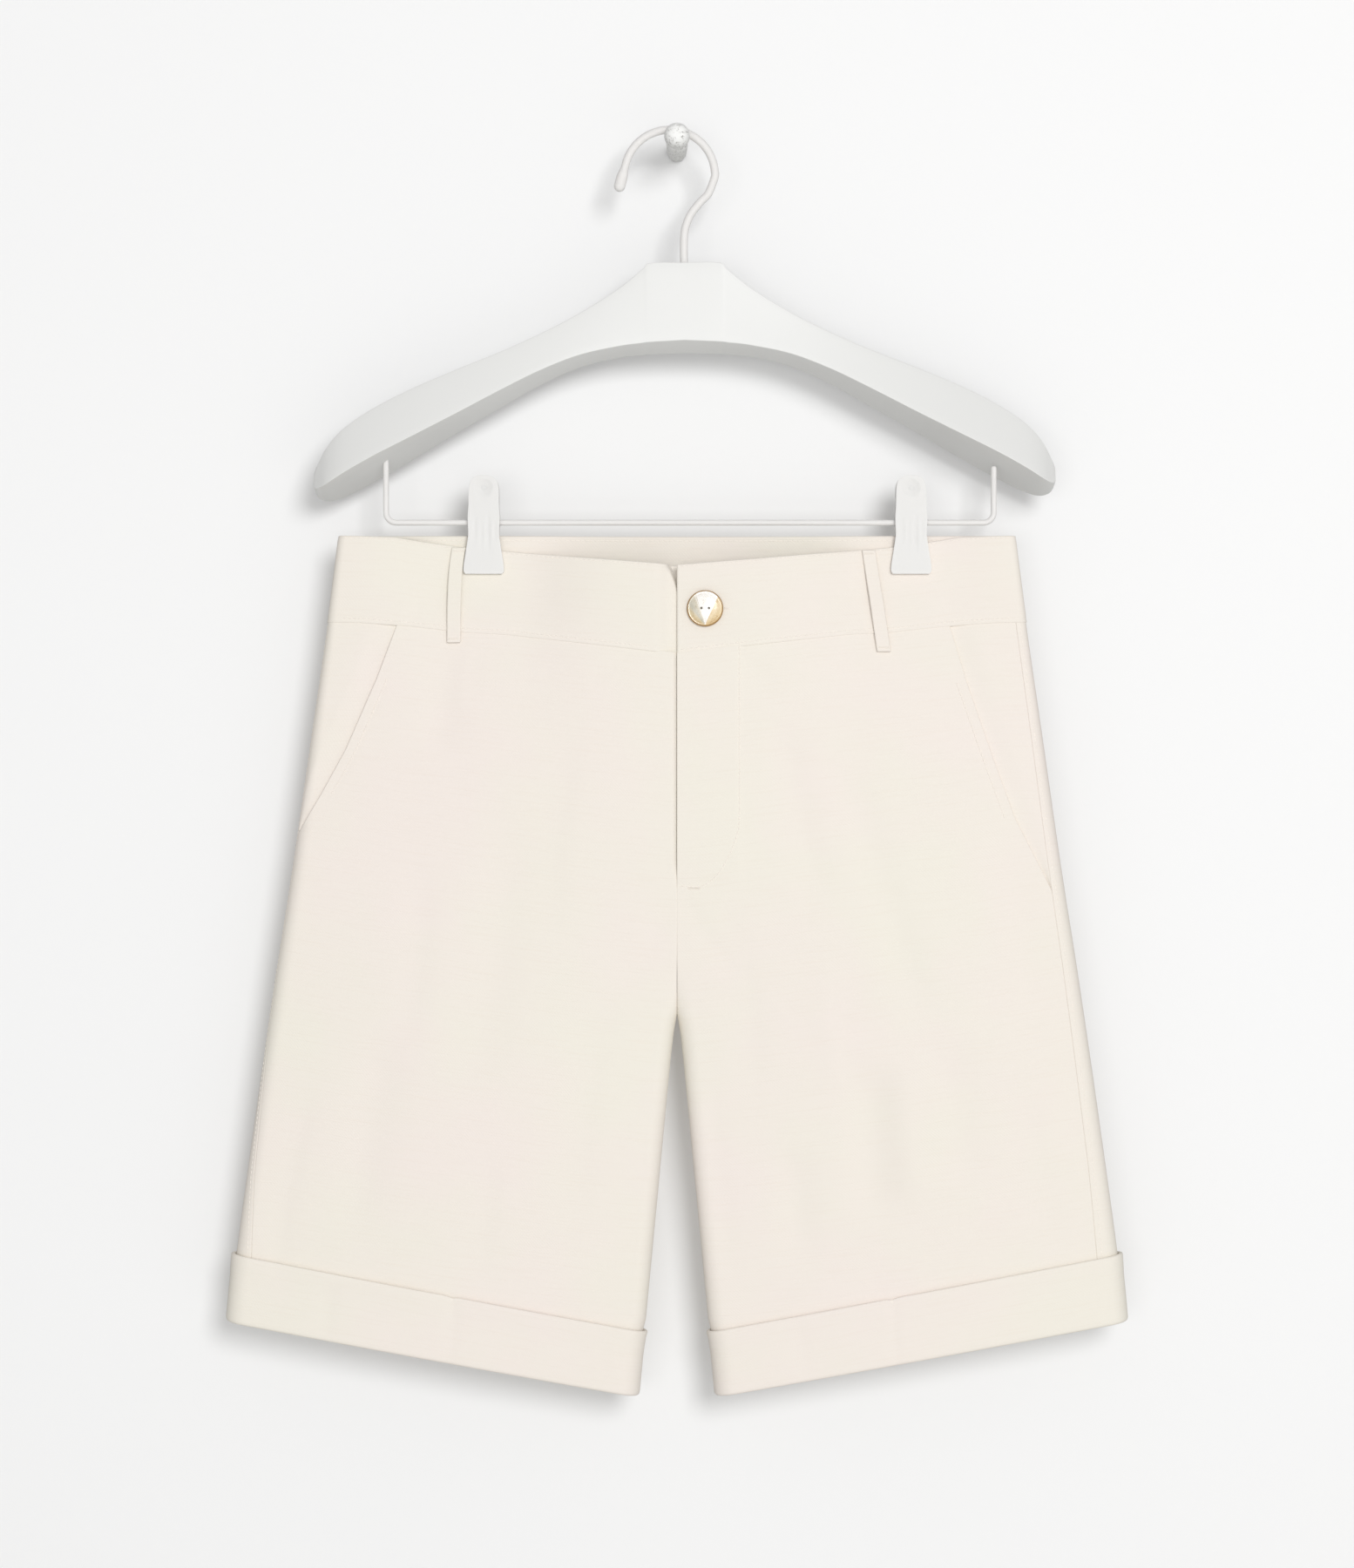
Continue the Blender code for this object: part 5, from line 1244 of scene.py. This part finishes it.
# --------------------------------------------------------------------------------------------- clips
# Two jaws of milky plastic a side, waisted above the cloth, with a round dimple at the pivot and finger
# grooves at the bar, joined by a pin and a block that rides on the bar.

JAWS = np.array(
    (
        (-254.2, 10.6),
        (-252.6, 11.7),
        (-249.0, 11.6),
        (-243.0, 10.7),
        (-236.0, 9.6),
        (-231.0, 9.0),
        (-226.0, 9.2),
        (-221.0, 9.3),
        (-214.0, 8.9),
        (-206.0, 8.8),
        (-201.5, 8.3),
        (-198.4, 6.6),
        (-196.8, 3.6),
        (-196.5, 2.0),
    )
)
JAW_INNER, JAW_WALL, JAW_EDGE = HELD_HALF + 0.9, 3.0, 1.1
PIVOT_Z, DIMPLE_RADIUS, DIMPLE_DEPTH = -204.0, 5.4, 1.2
# Each finger groove: its middle's x and z, half its length, and its depth.
GROOVES = ((-5.0, -229.0, 9.0, 0.4), (-1.2, -231, 10, 0.25), (2.8, -231, 12, 0.6), (6.6, -229, 7, 0.3))
FINGER_GROOVE_WIDTH = 1.1
JAW_COLUMNS, JAW_ROWS = 26, 70
PIN_RADIUS, PIN_PROUD, PIN_EDGE = 2.4, 0.08, 0.3
BLOCK_WIDTH, BLOCK_HEIGHT, BLOCK_Z = 10.0, 21.5, -211.2

# Milky plastic: light goes a little way in, and the surface keeps a soft sheen.
clip_plastic, shader = new_material("milky_clip_plastic_moulded_soft_sheen", "#E7E6E4", 0.55)
shader.inputs["Specular IOR Level"].default_value = 0.3
shader.inputs["Subsurface Weight"].default_value = 0.4
shader.inputs["Subsurface Radius"].default_value = (1.0, 1.0, 1.0)
shader.inputs["Subsurface Scale"].default_value = 0.002


def jaw_corner_of(clip_x, face):
    """The place function of one jaw: the front or back one of the clip at clip_x."""

    def jaw_corner(along, up, back):
        row = table_at(JAWS, (up + 1) / 2 * (len(JAWS) - 1))
        x, z = along * row[1], row[0]
        if back:
            return clip_x + x, HANG_Y + face * JAW_INNER, z
        reach = math.hypot(x, z - PIVOT_Z) / DIMPLE_RADIUS
        pressed = DIMPLE_DEPTH * (1 - reach**2) if reach < 1 else 0.0
        for groove_x, groove_z, half, depth in GROOVES:
            ends = max(1 - ((z - groove_z) / half) ** 2, 0.0)
            pressed += depth * ends * math.exp(-(((x - groove_x) / FINGER_GROOVE_WIDTH) ** 2))
        return clip_x + x, HANG_Y + face * (JAW_INNER + JAW_WALL - pressed), z

    return jaw_corner


for side, name in ((-1, "left"), (1, "right")):
    for face, facing_name in ((FRONT, "front"), (BACK, "back")):
        jaw = plate(
            f"clip_{name}_{facing_name}_moulding",
            JAW_COLUMNS,
            JAW_ROWS,
            jaw_corner_of(CLIP_X[side], face),
            JAW_EDGE,
            clip_plastic,
            segments=4,
        )
        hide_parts(f"clip_{name}_{facing_name}_jaw")
    centre = (CLIP_X[side] * MM, HANG_Y * MM, PIVOT_Z * MM)
    bpy.ops.mesh.primitive_cylinder_add(
        vertices=40,
        radius=PIN_RADIUS * MM,
        depth=2 * (JAW_INNER + JAW_WALL - DIMPLE_DEPTH + PIN_PROUD) * MM,
        location=centre,
        rotation=(math.pi / 2, 0, 0),
    )
    pin = bpy.context.object
    bpy.ops.mesh.primitive_cube_add(size=1, location=(centre[0], centre[1], BLOCK_Z * MM))
    block = bpy.context.object
    block.scale = (BLOCK_WIDTH * MM, 2 * (JAW_INNER - GAP) * MM, BLOCK_HEIGHT * MM)
    bpy.ops.object.transform_apply(location=False, rotation=False, scale=True)
    pin.select_set(True)
    bpy.context.view_layer.objects.active = pin
    bpy.ops.object.join()
    bpy.ops.object.transform_apply(location=True, rotation=True, scale=True)
    bpy.ops.object.modifier_add(type="BEVEL")
    pin.modifiers[-1].width = PIN_EDGE * MM
    pin.modifiers[-1].segments = 3
    bpy.ops.object.modifier_apply(modifier=pin.modifiers[-1].name)
    bpy.ops.object.shade_smooth_by_angle(angle=math.radians(35))
    pin.name = f"clip_{name}_pin"
    pin.data.materials.append(clip_plastic)
    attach(pin, "root")
    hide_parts(f"clip_{name}_pivot")


# ----------------------------------------------------------------------------------- peg and button
# A turned wooden peg with old white paint, and the waist button: a domed shell disc in a gilt rim with
# two thread holes. Both are turned from a profile.


MERGE_WITHIN = 0.01 * MM


def turned_piece(name, profile, steps, direction, seat, material):
    """A solid of revolution from (radius, height) places, its axis along a direction from its seat."""
    mesh = bpy.data.meshes.new(name)
    places = [(radius * MM, 0, height * MM) for radius, height in profile]
    mesh.from_pydata(places, [(i, i + 1) for i in range(len(places) - 1)], [])
    piece = bpy.data.objects.new(name, mesh)
    bpy.context.collection.objects.link(piece)
    bpy.ops.object.select_all(action="DESELECT")
    piece.select_set(True)
    bpy.context.view_layer.objects.active = piece
    bpy.ops.object.modifier_add(type="SCREW")
    screw = piece.modifiers[-1]
    screw.steps = screw.render_steps = steps
    screw.use_merge_vertices = True
    screw.merge_threshold = MERGE_WITHIN
    bpy.ops.object.modifier_apply(modifier=screw.name)
    bpy.ops.object.mode_set(mode="EDIT")
    bpy.ops.mesh.select_all(action="SELECT")
    bpy.ops.mesh.remove_doubles(threshold=MERGE_WITHIN)
    bpy.ops.mesh.normals_make_consistent(inside=False)
    bpy.ops.object.mode_set(mode="OBJECT")
    matrix = Vector(direction).to_track_quat("Z", "Y").to_matrix().to_4x4()
    matrix.translation = Vector(seat) * MM
    piece.data.transform(matrix)
    bpy.ops.object.shade_smooth_by_angle(angle=math.radians(40))
    piece.data.materials.append(material)
    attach(piece, "root")
    return piece


PEG_PROFILE = ((5.4, 0), (5.7, 4), (6.1, 16), (6.3, 28), (6.2, 33), (5.6, 36), (4.0, 37.8), (3.05, 39.2))
PEG_PROFILE += ((3.0, 42), (3.05, 45), (3.7, 47), (5.4, 48.4), (6.7, 50.2), (7.4, 53.6), (7.3, 57.6))
PEG_PROFILE += ((6.4, 61), (4.6, 63.2), (2.4, 64), (0.001, 64.1))

# Old white paint over wood: chalky and dull, worn through to grey in flakes of about 2 mm.
PAINT_FLAKE = 2.08 * MM
wood, shader = new_material("white_painted_wood_distressed", "#E4E4E1", 0.62)
place = add_node(wood, "ShaderNodeTexCoord")
wear = add_node(
    wood,
    "ShaderNodeTexNoise",
    {},
    {"Vector": place.outputs["Object"], "Scale": 1 / PAINT_FLAKE, "Detail": 5.0, "Roughness": 0.7},
)
worn = add_node(wood, "ShaderNodeValToRGB", {}, {"Fac": wear.outputs["Fac"]})
worn.color_ramp.elements[0].position = 0.3
worn.color_ramp.elements[0].color = (*linear("#96948F"), 1)
worn.color_ramp.elements[1].position = 0.47
worn.color_ramp.elements[1].color = (*linear("#F4F4F2"), 1)
wood.node_tree.links.new(worn.outputs["Color"], shader.inputs["Base Color"])
wear_bump = add_node(
    wood, "ShaderNodeBump", {}, {"Height": wear.outputs["Fac"], "Strength": 0.25, "Distance": 0.0003}
)
wood.node_tree.links.new(wear_bump.outputs["Normal"], shader.inputs["Normal"])

peg = turned_piece(
    "peg_turned", curve_through(PEG_PROFILE, 0.6), 64, (0, -1, 0), (0, 0, 0), wood
)
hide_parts("wall_peg")

BUTTON_X, BUTTON_Z = 16.3, -275.0
BUTTON_PROFILE = ((0.001, 0.1), (5.0, 0.1), (7.5, 0.1), (9.2, 0.3), (10.2, 0.9), (10.55, 1.6), (10.35, 2.25))
BUTTON_PROFILE += ((9.9, 2.6), (9.5, 2.55), (9.1, 2.5), (7.4, 2.95), (5.0, 3.35), (2.5, 3.6), (0.001, 3.7))

# Polished shell over gilt, with its sheen and reflections painted into the colour: a painted white sheen
# fans up from a point below the button, with painted pale gold and grey reflections to its sides. The
# shell's own growth shows as a mottle about 1 mm across.
PAINTED_SHEEN_FOOT, SHELL_MOTTLE = 9.6, 1.11 * MM
FAN_FROM, FAN_TO, PAINTED_SHEEN_STREAKS = -0.95, 1.45, 14.0
shell_with_painted_sheen, shader = new_material("shell_and_gilt_button_polished", "#EDE4D2", 0.3)
shader.inputs["Coat Weight"].default_value = 0.25
button_level = level_at(1, FRONT, BUTTON_X, BUTTON_Z)
button_turn = turn_at(FRONT, BUTTON_X, button_level)
button_out = Vector(normal(1, button_turn, button_level).tolist())
button_seat = Vector(form(1, button_turn, button_level).tolist()) + button_out * (BAND_PROUD + 0.2)
painted_sheen_foot = tuple((button_seat + Vector((0, 0, -PAINTED_SHEEN_FOOT))) * MM)
place = add_node(shell_with_painted_sheen, "ShaderNodeTexCoord")
centred = add_node(
    shell_with_painted_sheen, "ShaderNodeVectorMath", {"operation": "SUBTRACT"}, {0: place.outputs["Object"], 1: painted_sheen_foot}
)
parts = add_node(shell_with_painted_sheen, "ShaderNodeSeparateXYZ", {}, {"Vector": centred.outputs["Vector"]})
angle = add_node(
    shell_with_painted_sheen, "ShaderNodeMath", {"operation": "ARCTAN2"}, {0: parts.outputs["X"], 1: parts.outputs["Z"]}
)
painted_sheen_streaks = add_node(
    shell_with_painted_sheen,
    "ShaderNodeTexNoise",
    {"noise_dimensions": "1D"},
    {"W": angle.outputs[0], "Scale": PAINTED_SHEEN_STREAKS, "Detail": 4.0, "Roughness": 0.7},
)
jitter = add_node(
    shell_with_painted_sheen,
    "ShaderNodeMath",
    {"operation": "MULTIPLY_ADD"},
    {0: painted_sheen_streaks.outputs["Fac"], 1: 0.5, 2: angle.outputs[0]},
)
fan = add_node(
    shell_with_painted_sheen,
    "ShaderNodeMapRange",
    {},
    {"Value": jitter.outputs[0], "From Min": FAN_FROM, "From Max": FAN_TO},
)
# Around the painted sheen's fan: how far round each colour stands, and the colour. The white stops are a
# painted highlight, the golds and greys painted reflections.
PAINTED_SHEEN_FAN = (
    (0.0, "#CDB487"),
    (0.14, "#DCCDAA"),
    (0.24, "#C9C7BB"),
    (0.34, "#DDD7C7"),
    (0.39, "#FFFFFF"),
    (0.66, "#FFFFFF"),
    (0.69, "#DFC596"),
    (0.75, "#EFDDBB"),
    (0.88, "#E8D2A8"),
    (1.0, "#CFB07A"),
)
# The sectors are painted sheen and reflections, set by the angle round a point below the button.
painted_sheen_sectors = add_node(shell_with_painted_sheen, "ShaderNodeValToRGB", {}, {"Fac": fan.outputs["Result"]})
ramp = painted_sheen_sectors.color_ramp
ramp.elements[1].position = PAINTED_SHEEN_FAN[-1][0]
ramp.elements[0].color = (*linear(PAINTED_SHEEN_FAN[0][1]), 1)
ramp.elements[1].color = (*linear(PAINTED_SHEEN_FAN[-1][1]), 1)
for stop, colour in PAINTED_SHEEN_FAN[1:-1]:
    ramp.elements.new(stop).color = (*linear(colour), 1)
fine = add_node(
    shell_with_painted_sheen,
    "ShaderNodeTexNoise",
    {},
    {
        "Vector": place.outputs["Object"],
        "Scale": 1 / SHELL_MOTTLE,
        "Detail": 4.0,
        "Roughness": 0.75,
        "Distortion": 1.5,
    },
)
scratch = add_node(shell_with_painted_sheen, "ShaderNodeValToRGB", {}, {"Fac": fine.outputs["Fac"]})
scratch.color_ramp.elements[0].position = 0.36
scratch.color_ramp.elements[0].color = (*linear("#CBB897"), 1)
scratch.color_ramp.elements[1].position = 0.5
scratch.color_ramp.elements[1].color = (*linear("#FBF7F0"), 1)
# The painted sheen and reflections, times the shell's own mottle.
painted_sheen_and_mottle = add_node(
    shell_with_painted_sheen,
    "ShaderNodeMix",
    {"data_type": "RGBA", "blend_type": "MULTIPLY"},
    {0: 0.6, 6: painted_sheen_sectors.outputs["Color"], 7: scratch.outputs["Color"]},
)
shell_with_painted_sheen.node_tree.links.new(painted_sheen_and_mottle.outputs[2], shader.inputs["Base Color"])

# The gilt rim: a thin ring of worn gold plating, warm and half dull.
gilt = new_material("gilt_button_rim_worn", "#B08A57", 0.35, Metallic=0.6)[0]
GILT_FROM, HOLE_RADIUS, HOLE_OUT, DRILL_LENGTH = 9.75, 0.75, 2.2, 14.0

button = turned_piece(
    "button_turned",
    curve_through(BUTTON_PROFILE, 0.4),
    96,
    button_out,
    button_seat,
    shell_with_painted_sheen,
)
across = Vector((0, 0, 1)).cross(button_out).normalized() * HOLE_OUT
for hole_side in (-1, 1):
    bpy.ops.mesh.primitive_cylinder_add(
        vertices=24,
        radius=HOLE_RADIUS * MM,
        depth=DRILL_LENGTH * MM,
        location=(button_seat + across * hole_side + button_out * 2.5) * MM,
        rotation=button_out.to_track_quat("Z", "Y").to_euler(),
    )
    drill = bpy.context.object
    bpy.ops.object.select_all(action="DESELECT")
    button.select_set(True)
    bpy.context.view_layer.objects.active = button
    bpy.ops.object.modifier_add(type="BOOLEAN")
    button.modifiers[-1].object = drill
    bpy.ops.object.modifier_apply(modifier=button.modifiers[-1].name)
    bpy.data.objects.remove(drill)
button.data.materials.append(gilt)
for face in button.data.polygons:
    from_seat = face.center / MM - button_seat
    if (from_seat - button_out * from_seat.dot(button_out)).length > GILT_FROM:
        face.material_index = 1
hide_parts("waist_button")


# ------------------------------------------------------------------------------------ cloth declared
# The cut pieces are the cream cotton and linen named above, hung from the band, turned up and pressed
# at the hems, or stretched over the band as loops. Each is given the flat size of what shows of it, in
# metres, and its area in square metres.

for loop in BELT_LOOPS:
    on_band = "waistband_back" if loop.face == BACK else f"waistband_{loop.name}"
    strip = loops[loop.name]
